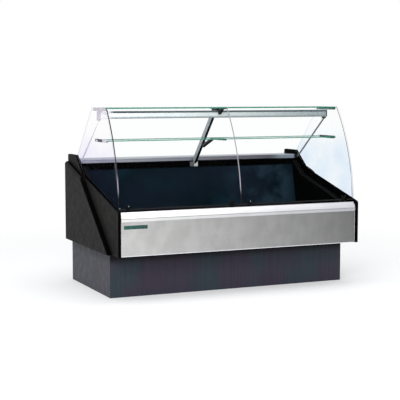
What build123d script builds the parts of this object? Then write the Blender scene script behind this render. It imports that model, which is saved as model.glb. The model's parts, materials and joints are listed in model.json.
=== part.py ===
from build123d import *
import os
from math import cos, radians, sin, sqrt

# Refrigerated deli case with curved tilting front glass.
# Millimetres. X runs along the counter, +Y towards the server's side, +Z up.
# The origin is on the floor, under the middle of the whole case.

# ---- driving dimensions ----
half_inner = 937.5  # middle of the case to the inner face of an end panel
panel_core = 22.0  # thickness of an end panel's slab
panel_raise = 38.0  # how far the raised outer part stands beyond the slab
case_depth = 1130.0
nose_depth = 10.0  # the end panels stand this far in front of the steel face
gap = 0.5  # assembly gap between neighbouring fixed pieces
play = 0.3  # clearance between pieces that move apart
seam = 0.2  # hairline between fixed pieces that sit against each other
sheet = 1.5  # gauge of folded sheet metal

body_bottom = 321.0
steel_top = 559.0
bumper_top = 627.0
wall_top = 600.0  # top of the insulated front wall
rail_low = 906.0
rail_high = 944.0
panel_top = 976.0

glass_radius = 1256.0  # outer face of the curved front glass
glass_thick = 6.0
plate_thick = 8.0  # end, top and shelf glass
glass_centre_back = 1290.0
glass_centre_z = 592.0
glass_low = 642.0
glass_high = 1340.0

face_y = nose_depth - case_depth / 2
back_end = case_depth - nose_depth


def behind(distance):
    """Y of a point this far behind the steel front face."""
    return face_y + distance


def profile(points):
    """YZ points from (distance behind the steel face, height) pairs."""
    return [(behind(distance), height) for distance, height in points]


def slab(distance, thickness, x_low, x_high, z_low, z_high):
    """An upright or flat box, placed by its front distance and its limits."""
    middle = ((x_low + x_high) / 2, behind(distance + thickness / 2), (z_low + z_high) / 2)
    with Locations(middle):
        Box(x_high - x_low, thickness, z_high - z_low)


def cut_slab(distance, thickness, x_low, x_high, z_low, z_high):
    """The same box, taken away."""
    middle = ((x_low + x_high) / 2, behind(distance + thickness / 2), (z_low + z_high) / 2)
    with Locations(middle):
        Box(x_high - x_low, thickness, z_high - z_low, mode=Mode.SUBTRACT)


def facing_back(x, distance, z):
    """Work plane whose normal points to the server's side."""
    return Plane(origin=(x, behind(distance), z), x_dir=(1, 0, 0), z_dir=(0, 1, 0))


os.makedirs("parts", exist_ok=True)
sides = {"left": -1, "right": 1}

# ---- base: frame, feet, plinth ----
bearer = 40.0
frame_half = 900.0
frame_front = 240.0
frame_back = 1030.0
cross_x = (-860.0, 0.0, 860.0)
foot_gap = 40.0
foot_rows = (frame_front + bearer / 2, frame_back + bearer / 2)

with BuildPart() as base_frame:
    for start in (frame_front, frame_back):
        slab(start, bearer, -frame_half, frame_half, body_bottom - bearer, body_bottom)
    for x in cross_x:
        low_x = x - bearer / 2
        high_x = x + bearer / 2
        start = frame_front + bearer + seam
        slab(start, frame_back - seam - start, low_x, high_x, body_bottom - bearer, body_bottom)
        for row in foot_rows:
            slab(row - bearer / 2, bearer, low_x, high_x, foot_gap, body_bottom - bearer - seam)
base_frame.part.label = "base_frame"
export_step(base_frame.part, "parts/base_frame.step")

foot_pad = 28.0
foot_stem = 6.0
pad_height = 10.0
with BuildPart() as levelling_feet:
    for x in cross_x:
        for row in foot_rows:
            with BuildSketch(Plane.XY):
                with Locations((x, behind(row))):
                    Circle(foot_pad)
            extrude(amount=pad_height)
            with BuildSketch(Plane.XY.offset(pad_height)):
                with Locations((x, behind(row))):
                    Circle(foot_stem)
            extrude(amount=foot_gap - pad_height)
levelling_feet.part.label = "levelling_feet"
export_step(levelling_feet.part, "parts/levelling_feet.step")

plinth_half = 943.0
plinth_front_at = 210.0
plinth_back_at = 1086.0
plinth_sheet = 2.0
plinth_top = body_bottom - gap
return_flange = 20.0

with BuildPart() as plinth_front:
    inner = plinth_half - plinth_sheet - gap
    slab(plinth_front_at, plinth_sheet, -inner, inner, 0, plinth_top)
    slab(plinth_front_at, return_flange, -inner, inner, plinth_top - plinth_sheet, plinth_top)
plinth_front.part.label = "plinth_front"
export_step(plinth_front.part, "parts/plinth_front.step")

with BuildPart() as plinth_sides:
    for sign in sides.values():
        ends = sorted((sign * plinth_half, sign * (plinth_half - plinth_sheet)))
        slab(plinth_front_at, plinth_back_at - plinth_front_at, *ends, 0, plinth_top)
plinth_sides.part.label = "plinth_sides"
export_step(plinth_sides.part, "parts/plinth_sides.step")

gland_x = 700.0
gland_z = 150.0
gland_thread = 10.0
louvre_rows = 8
louvre_pitch = 26.0
louvre_length = 150.0
louvre_height = 8.0
louvre_columns = 4
louvre_x_pitch = 180.0
grille_x = -240.0
grille_z = 160.0
with BuildPart() as plinth_rear_grille:
    inner = plinth_half - plinth_sheet - gap
    slab(plinth_back_at - plinth_sheet, plinth_sheet, -inner, inner, 0, plinth_top)
    with BuildSketch(facing_back(grille_x, plinth_back_at - plinth_sheet, grille_z)):
        with GridLocations(louvre_x_pitch, louvre_pitch, louvre_columns, louvre_rows):
            SlotOverall(louvre_length, louvre_height)
    extrude(amount=plinth_sheet, mode=Mode.SUBTRACT)
    with BuildSketch(facing_back(gland_x, plinth_back_at - plinth_sheet, gland_z)):
        Circle(gland_thread + gap / 2)
    extrude(amount=plinth_sheet, mode=Mode.SUBTRACT)
plinth_rear_grille.part.label = "plinth_rear_grille"
export_step(plinth_rear_grille.part, "parts/plinth_rear_grille.step")

gland_bore = 5.0
gland_nut = 14.0
gland_length = 20.0
gland_inside = 12.0
gland_flange = 3.0
gland_face = facing_back(gland_x, plinth_back_at, gland_z)
with BuildPart() as cable_gland:
    with BuildSketch(gland_face):
        RegularPolygon(gland_nut, 6)
    extrude(amount=gland_length * 0.6)
    with BuildSketch(gland_face):
        Circle(gland_nut * 0.75)
    extrude(amount=gland_length)
    with BuildSketch(gland_face):
        Circle(gland_thread)
    extrude(amount=-gland_inside)
    with BuildSketch(facing_back(gland_x, plinth_back_at - plinth_sheet - gap - gland_flange, gland_z)):
        RegularPolygon(gland_nut, 6)
    extrude(amount=gland_flange)
    with BuildSketch(facing_back(gland_x, plinth_back_at - gland_inside, gland_z)):
        Circle(gland_bore)
    extrude(amount=gland_length + gland_inside, mode=Mode.SUBTRACT)
cable_gland.part.label = "cable_gland"
export_step(cable_gland.part, "parts/cable_gland.step")

# ---- condensing unit inside the plinth ----
unit_front = 820.0
unit_back = 1020.0
unit_left = -460.0
unit_right = 220.0
tray_floor = 26.0
tray_lip = 14.0
runner = 30.0
with BuildPart() as compressor_tray:
    slab(unit_front, unit_back - unit_front, unit_left, unit_right, tray_floor, tray_floor + 2 * sheet)
    slab(unit_front, sheet, unit_left, unit_right, tray_floor, tray_floor + tray_lip)
    slab(unit_back - sheet, sheet, unit_left, unit_right, tray_floor, tray_floor + tray_lip)
    for start in (unit_front + runner, unit_back - 2 * runner):
        slab(start, runner, unit_left, unit_right, 0, tray_floor)
compressor_tray.part.label = "compressor_tray"
export_step(compressor_tray.part, "parts/compressor_tray.step")

tray_top = tray_floor + 2 * sheet
compressor_x = 90.0
compressor_at = 920.0
compressor_r = 74.0
compressor_h = 165.0
mount_offset = 62.0
foot_plate_round = 16.0
foot_plate_thick = 4.0
plate_margin = 15.0
can_low = tray_top
can_dome = 38.0
terminal_depth = 40.0
terminal_x = (60.0, 92.0)  # from the can's middle
terminal_z = (60.0, 112.0)  # from the can's foot
with BuildPart() as compressor:
    with BuildSketch(Plane.XY.offset(can_low)):
        with Locations((compressor_x, behind(compressor_at))):
            plate_side = 2 * (mount_offset + plate_margin)
            RectangleRounded(plate_side, plate_side, foot_plate_round)
    extrude(amount=foot_plate_thick)
    with BuildSketch(Plane.XY.offset(can_low + foot_plate_thick)):
        with Locations((compressor_x, behind(compressor_at))):
            Circle(compressor_r)
    extrude(amount=compressor_h)
    fillet(compressor.edges().filter_by(GeomType.CIRCLE).group_by(Axis.Z)[-1], can_dome)
    slab(
        compressor_at - terminal_depth / 2,
        terminal_depth,
        compressor_x + terminal_x[0],
        compressor_x + terminal_x[1],
        can_low + terminal_z[0],
        can_low + terminal_z[1],
    )
compressor.part.label = "compressor"
export_step(compressor.part, "parts/compressor.step")

coil_left = -420.0
coil_right = -60.0
coil_low = tray_top + tray_lip
coil_high = 262.0
coil_front = 962.0
coil_back = 1010.0
fin_pitch = 15.0
fin_thick = 1.2
fin_proud = 3.0
with BuildPart() as condenser_coil:
    block_depth = coil_back - coil_front - 2 * fin_proud
    slab(coil_front + fin_proud, block_depth, coil_left, coil_right, coil_low, coil_high)
    fins = int((coil_right - coil_left) / fin_pitch) + 1
    for index in range(fins):
        x = coil_left + index * fin_pitch
        x_high = min(x + fin_thick, coil_right)
        if x_high > x:
            slab(coil_front, coil_back - coil_front, x, x_high, coil_low, coil_high)
condenser_coil.part.label = "condenser_coil"
export_step(condenser_coil.part, "parts/condenser_coil.step")

shroud_front = 902.0
fan_x = (coil_left + coil_right) / 2
fan_z = (coil_low + coil_high) / 2
fan_hole = 98.0
with BuildPart() as condenser_shroud:
    slab(shroud_front, coil_front - gap - shroud_front, coil_left, coil_right, coil_low, coil_high)
    cut_slab(
        shroud_front + sheet,
        coil_front - shroud_front,
        coil_left + sheet,
        coil_right - sheet,
        coil_low + sheet,
        coil_high - sheet,
    )
    with BuildSketch(facing_back(fan_x, shroud_front, fan_z)):
        Circle(fan_hole)
    extrude(amount=sheet, mode=Mode.SUBTRACT)
condenser_shroud.part.label = "condenser_shroud"
export_step(condenser_shroud.part, "parts/condenser_shroud.step")


shaft_r = 4.0
shaft_play = 0.05
blade_thick = 2.0
blade_root = 4.0  # how deep a blade starts in the hub
blade_over = 2.0  # beyond the tip circle, before it is trimmed
blades = 5
condenser_fan_at = 910.0
condenser_fan_tip = 94.0
condenser_hub_r = 24.0
condenser_fan_depth = 24.0
condenser_pitch = 34.0


def bladed_fan(x, distance, z, tip, hub_r, depth, pitch_angle):
    """Axial fan with its hub's front face at the given distance, turning about Y."""
    plane = facing_back(x, distance + depth / 2, z)
    reach = tip - hub_r + blade_root + blade_over
    with BuildPart(plane) as fan:
        Cylinder(hub_r, depth)
        with PolarLocations(hub_r - blade_root + reach / 2, blades):
            Box(reach, depth * 1.5, blade_thick, rotation=(pitch_angle, 0, 0))
        Cylinder(tip, depth, mode=Mode.INTERSECT)
        Cylinder(shaft_r + shaft_play, depth, mode=Mode.SUBTRACT)
    return fan.part


condenser_fan = bladed_fan(
    fan_x,
    condenser_fan_at,
    fan_z,
    condenser_fan_tip,
    condenser_hub_r,
    condenser_fan_depth,
    condenser_pitch,
)
condenser_fan.label = "condenser_fan"
export_step(condenser_fan, "parts/condenser_fan.step")

evaporator_plate_at = 380.0
evaporator_fan_x = (-560.0, 0.0, 560.0)
evaporator_fan_z = 456.0
evaporator_fan_hole = 78.0
evaporator_fan_depth = 18.0
evaporator_fan_room = 4.0  # between the plate and the fan
evaporator_fan_at = evaporator_plate_at - evaporator_fan_room - evaporator_fan_depth
evaporator_fan_tip = 74.0
evaporator_hub_r = 20.0
evaporator_pitch = 30.0
arm_thick = 3.0
arm_width = 9.0
evaporator_can = (30.0, 52.0)  # radius, length
evaporator_arm = 88.0
condenser_can = (34.0, 48.0)
condenser_arm = 106.0
condenser_shaft = 34.0


def fan_motor(plane, can_r, can_length, arm_reach, shaft_long):
    """Motor can on its plate's face, with three arms and a shaft through the plate's hole."""
    with BuildSketch(plane) as can:
        Circle(can_r)
    extrude(can.sketch, amount=can_length)
    with BuildSketch(plane) as arms:
        with PolarLocations(arm_reach / 2, 3, start_angle=90):
            Rectangle(arm_reach, arm_width)
    extrude(arms.sketch, amount=arm_thick)
    with BuildSketch(plane) as shaft:
        Circle(shaft_r)
    extrude(shaft.sketch, amount=-shaft_long)


shroud_face = Plane(origin=(fan_x, behind(shroud_front), fan_z), x_dir=(-1, 0, 0), z_dir=(0, -1, 0))
with BuildPart() as fan_motors:
    for x in evaporator_fan_x:
        plate_back = evaporator_plate_at + sheet
        plane = facing_back(x, plate_back, evaporator_fan_z)
        fan_motor(plane, *evaporator_can, evaporator_arm, plate_back - evaporator_fan_at)
    fan_motor(shroud_face, *condenser_can, condenser_arm, condenser_shaft)
fan_motors.part.label = "fan_motors"
export_step(fan_motors.part, "parts/fan_motors.step")

pipe_r = 5.0
pipe_bend = 22.0
routes = {
    "discharge": [
        (compressor_x, compressor_at, can_low + 4 + compressor_h),
        (compressor_x, compressor_at, 240.0),
        (compressor_x, 985.0, 240.0),
        (coil_right, 985.0, 240.0),
    ],
    "liquid": [
        (coil_right, 985.0, 70.0),
        (-30.0, 985.0, 70.0),
        (-30.0, 985.0, 265.0),
        (-30.0, 780.0, 265.0),
        (-30.0, 780.0, 300.0),
    ],
}
with BuildPart() as refrigerant_lines:
    for route in routes.values():
        with BuildLine() as path:
            run = FilletPolyline(*[(x, behind(distance), z) for x, distance, z in route], radius=pipe_bend)
        with BuildSketch(Plane(origin=run @ 0, z_dir=run % 0)):
            Circle(pipe_r)
        sweep(path=run)
refrigerant_lines.part.label = "refrigerant_lines"
export_step(refrigerant_lines.part, "parts/refrigerant_lines.step")

evaporate_left = 300.0
evaporate_right = 700.0
evaporate_front = 820.0
evaporate_back = 1010.0
evaporate_low = 2.0
evaporate_high = 62.0
with BuildPart() as condensate_tray:
    slab(
        evaporate_front,
        evaporate_back - evaporate_front,
        evaporate_left,
        evaporate_right,
        evaporate_low,
        evaporate_high,
    )
    cut_slab(
        evaporate_front + 2,
        evaporate_back - evaporate_front - 4,
        evaporate_left + 2,
        evaporate_right - 2,
        evaporate_low + 2,
        evaporate_high + 1,
    )
condensate_tray.part.label = "condensate_tray"
export_step(condensate_tray.part, "parts/condensate_tray.step")

# ---- insulated tub ----
shell_front = 26.0
shell_back = 940.0
shell_half = half_inner - gap
wall = 40.0
side_wall = 50.0
cavity_front = shell_front + wall
cavity_back = shell_back - wall
cavity_half = shell_half - side_wall
shell_low = body_bottom
cavity_low = shell_low + wall
shell_high = rail_low - gap
kink_at = 757.0
kink_z = 790.0
drain_x = 500.0
drain_at = 850.0
drain_r = 16.0
deck_rest = 548.0
grille_back = 96.0
ledge = 20.0  # width of a ledge that the decks rest on
ledge_thick = 2.0
side_outline = [
    (shell_front, shell_low),
    (shell_back, shell_low),
    (shell_back, shell_high),
    (cavity_back, shell_high),
    (kink_at, kink_z),
    (cavity_front, wall_top),
    (shell_front, wall_top),
]
with BuildPart() as tub_shell:
    with BuildSketch(Plane.YZ):
        with BuildLine():
            Polyline(*profile(side_outline), close=True)
        make_face()
    extrude(amount=shell_half, both=True)
    cavity_depth = cavity_back - cavity_front
    cut_slab(cavity_front, cavity_depth, -cavity_half, cavity_half, cavity_low, shell_high + 10)
    with BuildSketch(Plane.XY.offset(shell_low)):
        with Locations((drain_x, behind(drain_at))):
            Circle(drain_r + gap)
    extrude(amount=wall, mode=Mode.SUBTRACT)
tub_shell.part.label = "tub_shell"
export_step(tub_shell.part, "parts/tub_shell.step")

liner_outline = [
    (cavity_front, cavity_low),
    (cavity_back, cavity_low),
    (cavity_back, shell_high),
    (kink_at, kink_z),
    (cavity_front, wall_top),
]
with BuildPart() as tub_liner:
    with BuildSketch(Plane.YZ):
        with BuildLine():
            Polyline(*profile(liner_outline), close=True)
        make_face()
    extrude(amount=cavity_half, both=True)
    cut_slab(
        cavity_front + sheet,
        cavity_back - cavity_front - 2 * sheet,
        -cavity_half + sheet,
        cavity_half - sheet,
        cavity_low + sheet,
        shell_high + 10,
    )
    start = shell_front + 1
    slab(start, cavity_front + sheet - start, -cavity_half, cavity_half, wall_top, wall_top + sheet)
    start = cavity_front + 1
    slab(start, grille_back + ledge - start, -cavity_half, cavity_half, deck_rest - ledge_thick, deck_rest)
    with BuildSketch(Plane.XY.offset(cavity_low)):
        with Locations((drain_x, behind(drain_at))):
            Circle(drain_r + gap)
    extrude(amount=sheet, mode=Mode.SUBTRACT)
tub_liner.part.label = "tub_liner"
export_step(tub_liner.part, "parts/tub_liner.step")

drain_low = 75.0
with BuildPart() as drain_pipe:
    with BuildSketch(Plane.XY.offset(drain_low)):
        with Locations((drain_x, behind(drain_at))):
            Circle(drain_r)
            Circle(drain_r - 2, mode=Mode.SUBTRACT)
    extrude(amount=cavity_low + sheet - drain_low)
drain_pipe.part.label = "drain_pipe"
export_step(drain_pipe.part, "parts/drain_pipe.step")

evaporator_half = 700.0
evaporator_front = 480.0
evaporator_back = 700.0
evaporator_low = cavity_low + sheet + 10
evaporator_high = 480.0
evaporator_fin_pitch = 40.0
with BuildPart() as evaporator_coil:
    slab(
        evaporator_front + fin_proud,
        evaporator_back - evaporator_front - 2 * fin_proud,
        -evaporator_half,
        evaporator_half,
        evaporator_low + 5,
        evaporator_high - 5,
    )
    fin_depth = evaporator_back - evaporator_front
    for index in range(int(2 * evaporator_half / evaporator_fin_pitch) + 1):
        x = -evaporator_half + index * evaporator_fin_pitch
        slab(evaporator_front, fin_depth, x - 1, x + 1, evaporator_low, evaporator_high)
    for x in (-evaporator_half + 120, evaporator_half - 120):
        slab(evaporator_front + 40, 140, x - 15, x + 15, cavity_low + sheet, evaporator_low + 6)
evaporator_coil.part.label = "evaporator_coil"
export_step(evaporator_coil.part, "parts/evaporator_coil.step")

inner_half = cavity_half - sheet - gap
with BuildPart() as evaporator_fan_plate:
    slab(evaporator_plate_at, sheet, -inner_half, inner_half, cavity_low + sheet, deck_rest)
    for x in evaporator_fan_x:
        with BuildSketch(facing_back(x, evaporator_plate_at, evaporator_fan_z)):
            Circle(evaporator_fan_hole)
        extrude(amount=sheet, mode=Mode.SUBTRACT)
evaporator_fan_plate.part.label = "evaporator_fan_plate"
export_step(evaporator_fan_plate.part, "parts/evaporator_fan_plate.step")

for name, x in zip(("left", "centre", "right"), evaporator_fan_x):
    fan = bladed_fan(
        x,
        evaporator_fan_at,
        evaporator_fan_z,
        evaporator_fan_tip,
        evaporator_hub_r,
        evaporator_fan_depth,
        evaporator_pitch,
    )
    fan.label = f"evaporator_fan_{name}"
    export_step(fan, f"parts/evaporator_fan_{name}.step")

# ---- decks, grilles and air duct ----
duct_top = (885.0, 860.0)
duct_foot = (815.0, deck_rest)
with BuildPart() as air_duct_panel:
    with BuildSketch(Plane.YZ):
        with BuildLine():
            Polyline(
                *profile(
                    [
                        duct_top,
                        (duct_top[0] + sheet, duct_top[1]),
                        (duct_foot[0] + sheet, duct_foot[1] - sheet),
                        (duct_foot[0] - ledge, duct_foot[1] - sheet),
                        (duct_foot[0] - ledge, duct_foot[1]),
                        duct_foot,
                    ]
                ),
                close=True,
            )
        make_face()
    extrude(amount=inner_half, both=True)
air_duct_panel.part.label = "air_duct_panel"
export_step(air_duct_panel.part, "parts/air_duct_panel.step")

grille_height = 16.0
grille_slots = 22
grille_slot_pitch = 78.0
with BuildPart() as return_air_grille:
    grille_width = grille_back - cavity_front - sheet - 2 * gap
    grille_at = cavity_front + sheet + gap
    grille_top = deck_rest + grille_height
    slab(grille_at, grille_width, -inner_half, inner_half, grille_top - sheet, grille_top)
    for start in (grille_at, grille_at + grille_width - sheet):
        slab(start, sheet, -inner_half, inner_half, deck_rest, deck_rest + grille_height - sheet)
    with BuildSketch(Plane.XY.offset(deck_rest + grille_height - sheet)):
        with Locations((0, behind(grille_at + grille_width / 2))):
            with GridLocations(grille_slot_pitch, 10, grille_slots, 2):
                SlotOverall(62, 5)
    extrude(amount=sheet, mode=Mode.SUBTRACT)
return_air_grille.part.label = "return_air_grille"
export_step(return_air_grille.part, "parts/return_air_grille.step")

deck_names = ("left", "centre", "right")
deck_pitch = 2 * inner_half / len(deck_names)
deck_gap = 3.0
deck_back = 812.0
deck_edge = 12.0
for index, name in enumerate(deck_names):
    with BuildPart() as deck_pan:
        x_low = -inner_half + index * deck_pitch + deck_gap / 2
        x_high = x_low + deck_pitch - deck_gap
        depth = deck_back - grille_back
        low = deck_rest + play
        slab(grille_back, depth, x_low, x_high, low, low + deck_edge)
        cut_slab(
            grille_back + sheet,
            depth - 2 * sheet,
            x_low + sheet,
            x_high - sheet,
            low - 1,
            low + deck_edge - sheet,
        )
        fillet(deck_pan.edges().group_by(Axis.Z)[-1], 1.0)
    deck_pan.part.label = f"deck_pan_{name}"
    export_step(deck_pan.part, f"parts/deck_pan_{name}.step")

discharge_at = 886.5
discharge_back = cavity_back - sheet - gap
discharge_slats = 58
slat = 2.0
with BuildPart() as air_discharge_grille:
    grille_depth = discharge_back - discharge_at
    slab(discharge_at, grille_depth, -inner_half, inner_half, duct_top[1] + gap, shell_high - gap)
    cell_pitch = 2 * inner_half / discharge_slats
    middle_z = (duct_top[1] + shell_high) / 2
    with BuildSketch(facing_back(0, discharge_at, middle_z)):
        with GridLocations(cell_pitch, 19, discharge_slats, 2):
            Rectangle(cell_pitch - slat, 16)
    extrude(amount=discharge_back - discharge_at - 4, mode=Mode.SUBTRACT)
air_discharge_grille.part.label = "air_discharge_grille"
export_step(air_discharge_grille.part, "parts/air_discharge_grille.step")

# ---- front: steel panel, badge, bumper ----
front_half = half_inner - gap
front_return = 22.0
with BuildPart() as front_panel:
    slab(0, sheet, -front_half, front_half, body_bottom, steel_top)
    slab(sheet, front_return - sheet, -front_half, front_half, body_bottom, body_bottom + sheet)
    slab(sheet, front_return - sheet, -front_half, front_half, steel_top - sheet, steel_top)
front_panel.part.label = "front_panel"
export_step(front_panel.part, "parts/front_panel.step")

badge_left = -913.0
badge_width = 174.0
badge_height = 26.0
badge_z = 524.0
badge_thick = 1.2
with BuildPart() as badge_plate:
    with BuildSketch(facing_back(badge_left + badge_width / 2, 0, badge_z)):
        RectangleRounded(badge_width, badge_height, 3)
    extrude(amount=-badge_thick)
    fillet(badge_plate.edges().group_by(Axis.Y)[0], 0.4)
badge_plate.part.label = "badge_plate"
export_step(badge_plate.part, "parts/badge_plate.step")

bumper_nose = -7.0
bumper_back = 25.0
bumper_low = steel_top + gap
groove_low = 582.0
groove_high = 585.0
groove_depth = 4.0
bumper_wall = 3.0
bumper_half = 934.0
band_outline = [(bumper_nose, groove_high), (4.5, 612.5), (bumper_back, bumper_top)]


def bumper_face():
    """Outer outline of the bumper extrusion."""
    start, middle, end = profile(band_outline)
    with BuildLine() as outline:
        ThreePointArc(start, middle, end)
        Polyline(
            end,
            *profile(
                [
                    (bumper_back, bumper_low),
                    (bumper_nose + 3, bumper_low),
                    (bumper_nose, bumper_low + 3),
                    (bumper_nose, groove_low),
                    (bumper_nose + groove_depth, groove_low),
                    (bumper_nose + groove_depth, groove_high),
                ]
            ),
            start,
        )
    make_face(outline.edges())


with BuildPart() as bumper_rail:
    with BuildSketch(Plane.YZ):
        bumper_face()
        with BuildLine():
            Polyline(
                *profile(
                    [
                        (bumper_nose + groove_depth + bumper_wall, bumper_low + bumper_wall),
                        (bumper_back - bumper_wall, bumper_low + bumper_wall),
                        (bumper_back - bumper_wall, bumper_top - 7),
                        (bumper_nose + groove_depth + bumper_wall + 3, groove_high + 9),
                    ]
                ),
                close=True,
            )
        make_face(mode=Mode.SUBTRACT)
    extrude(amount=bumper_half, both=True)
bumper_rail.part.label = "bumper_rail"
export_step(bumper_rail.part, "parts/bumper_rail.step")

with BuildPart() as bumper_end_caps:
    for sign in sides.values():
        with BuildSketch(Plane.YZ.offset(sign * bumper_half)):
            bumper_face()
        extrude(amount=sign * (front_half - bumper_half))
bumper_end_caps.part.label = "bumper_end_caps"
export_step(bumper_end_caps.part, "parts/bumper_end_caps.step")

# ---- end panels ----
slope_kink = (757.0, 834.0)
slope_top = (930.0, panel_top)
nose_corner = (-nose_depth, 632.0)
raise_kink = (735.0, 826.0)
raise_front = (115.0, body_bottom)
raise_back = 1085.0
raise_back_z = 922.0
raise_bevel = 15.0  # of the raised part's top edge
raise_round = 5.0
end_glass_in = 940.0
groove_side = 0.5
glass_seat = 8.0  # how deep the end glass sits in the end panel
end_glass_back = 923.0
end_glass_top_back = 570.0


def glass_face_at(z, radius):
    """Distance behind the steel face of the curved glass at a height."""
    return glass_centre_back - sqrt(radius**2 - (z - glass_centre_z) ** 2)


def end_glass_outline(grow):
    """Outline of an end glass; grow lowers its seated edge."""
    low_z = nose_corner[1] + 5
    start = (glass_face_at(low_z, glass_radius), low_z)
    middle_z = (low_z + glass_high) / 2
    middle = (glass_face_at(middle_z, glass_radius), middle_z)
    top_front = (glass_face_at(glass_high, glass_radius), glass_high)
    seat = glass_seat + grow
    points = profile(
        [
            top_front,
            (end_glass_top_back, glass_high),
            (end_glass_back, panel_top - seat + 4),
            (slope_kink[0] + 3, slope_kink[1] - seat),
            start,
        ]
    )
    with BuildLine() as outline:
        ThreePointArc(*profile([start, middle, top_front]))
        Polyline(*points)
    make_face(outline.edges())


for side, sign in sides.items():
    with BuildPart() as end_panel:
        with BuildSketch(Plane.YZ.offset(sign * half_inner)) as core:
            with BuildLine():
                Polyline(
                    *profile(
                        [
                            (-nose_depth, body_bottom),
                            (back_end, body_bottom),
                            (back_end, panel_top),
                            slope_top,
                            slope_kink,
                            nose_corner,
                        ]
                    ),
                    close=True,
                )
            make_face()
            fillet(core.vertices().group_by(Axis.Y)[-1], 16)
            fillet(core.vertices().group_by(Axis.X)[0].sort_by(Axis.Y)[-1], 22)
        extrude(amount=sign * panel_core)
        with BuildSketch(Plane.YZ.offset(sign * (half_inner + panel_core))):
            with BuildLine():
                Polyline(
                    *profile(
                        [
                            raise_front,
                            (raise_back, body_bottom),
                            (raise_back, raise_back_z),
                            raise_kink,
                        ]
                    ),
                    close=True,
                )
            make_face()
        extrude(amount=sign * panel_raise)
        rim = end_panel.faces().sort_by(Axis.X)[-1 if sign > 0 else 0]
        chamfer(rim.edges().sort_by(Axis.Z)[-1], raise_bevel)
        rim = end_panel.faces().sort_by(Axis.X)[-1 if sign > 0 else 0]
        fillet(rim.edges(), raise_round)
        groove_plane = Plane.YZ.offset(sign * (end_glass_in - groove_side))
        with BuildSketch(groove_plane):
            end_glass_outline(groove_side)
        extrude(amount=sign * (plate_thick + 2 * groove_side), mode=Mode.SUBTRACT)
    end_panel.part.label = f"end_panel_{side}"
    export_step(end_panel.part, f"parts/end_panel_{side}.step")

    with BuildPart() as end_glass:
        with BuildSketch(Plane.YZ.offset(sign * end_glass_in)):
            end_glass_outline(0)
        extrude(amount=sign * plate_thick)
        chamfer(end_glass.edges().filter_by(GeomType.CIRCLE), 0.8)
    end_glass.part.label = f"end_glass_{side}"
    export_step(end_glass.part, f"parts/end_glass_{side}.step")

# ---- rear: rail, worktop, service panel and controls ----
rail_front = 878.0
rail_half = 926.0
rail_flange = 4.0
rail_nose_r = 11.0
rail_end_r = 3.0
worktop_at = 904.0
worktop_z = 941.0
worktop_thick = 3.0
worktop_round = 2.0
with BuildPart() as rear_rail:
    with BuildSketch(Plane.YZ) as rail_sketch:
        with BuildLine():
            Polyline(
                *profile(
                    [
                        (rail_front, rail_low),
                        (shell_back, rail_low),
                        (shell_back, rail_low + rail_flange),
                        (worktop_at - gap, rail_low + rail_flange),
                        (worktop_at - gap, rail_high),
                        (rail_front, rail_high),
                    ]
                ),
                close=True,
            )
        make_face()
        fillet(rail_sketch.vertices().group_by(Axis.X)[0], rail_nose_r)
    extrude(amount=rail_half, both=True)
    fillet(rear_rail.edges().filter_by(Axis.Z).group_by(Axis.Y)[0], rail_end_r)
rear_rail.part.label = "rear_rail"
export_step(rear_rail.part, "parts/rear_rail.step")

worktop_back = back_end - 2.0
with BuildPart() as rear_worktop:
    under_z = worktop_z - worktop_thick
    slab(worktop_at, worktop_back - worktop_at, -front_half, front_half, under_z, worktop_z)
    slab(worktop_back - worktop_thick, worktop_thick, -front_half, front_half, rail_low, under_z)
    back_rim = rear_worktop.edges().filter_by(Axis.X).group_by(Axis.Z)[-1].sort_by(Axis.Y)[-1]
    fillet(back_rim, worktop_round)
rear_worktop.part.label = "rear_worktop"
export_step(rear_worktop.part, "parts/rear_worktop.step")

rear_at = 1104.0
controller_x = 520.0
controller_z = 850.0
controller_w = 71.0
controller_h = 29.0
bezel_w = 78.0
bezel_h = 36.0
bezel_thick = 4.0
switch_x = 640.0
switch_w = 22.0
switch_h = 30.0
with BuildPart() as rear_panel:
    slab(rear_at, sheet, -front_half, front_half, body_bottom, shell_high)
    start = shell_back + gap
    for low in (body_bottom, shell_high - sheet):
        slab(start, rear_at - start, -front_half, front_half, low, low + sheet)
    cut_slab(
        rear_at,
        sheet,
        controller_x - controller_w / 2 - gap,
        controller_x + controller_w / 2 + gap,
        controller_z - controller_h / 2 - gap,
        controller_z + controller_h / 2 + gap,
    )
    cut_slab(
        rear_at,
        sheet,
        switch_x - switch_w / 2 - gap,
        switch_x + switch_w / 2 + gap,
        controller_z - switch_h / 2 - gap,
        controller_z + switch_h / 2 + gap,
    )
rear_panel.part.label = "rear_panel"
export_step(rear_panel.part, "parts/rear_panel.step")

key_names = ("down", "up")
key_pitch = 14.0
key_w = 9.0
key_h = 4.6
key_first = 12.0
key_travel = 1.2
key_depth = 5.0
key_z = controller_z - 9.0
bezel_at = rear_at + sheet
bezel_round = 3.0
controller_body = 50.0  # depth behind the rear panel's inner face
window_x = (-33.0, 10.0)  # from the controller's middle
window_z = (-4.0, 14.0)
window_deep = 1.0
key_well = key_depth + key_travel
with BuildPart() as controller:
    slab(
        rear_at - controller_body,
        controller_body + sheet,
        controller_x - controller_w / 2,
        controller_x + controller_w / 2,
        controller_z - controller_h / 2,
        controller_z + controller_h / 2,
    )
    with BuildSketch(facing_back(controller_x, bezel_at, controller_z)):
        RectangleRounded(bezel_w, bezel_h, bezel_round)
    extrude(amount=bezel_thick)
    cut_slab(
        bezel_at + bezel_thick - window_deep,
        window_deep,
        controller_x + window_x[0],
        controller_x + window_x[1],
        controller_z + window_z[0],
        controller_z + window_z[1],
    )
    for index in range(len(key_names)):
        x = controller_x + key_first + index * key_pitch - key_pitch / 2
        cut_slab(
            bezel_at + bezel_thick - key_well,
            key_well,
            x - key_w / 2 - play,
            x + key_w / 2 + play,
            key_z - key_h / 2 - play,
            key_z + key_h / 2 + play,
        )
controller.part.label = "controller"
export_step(controller.part, "parts/controller.step")

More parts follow.
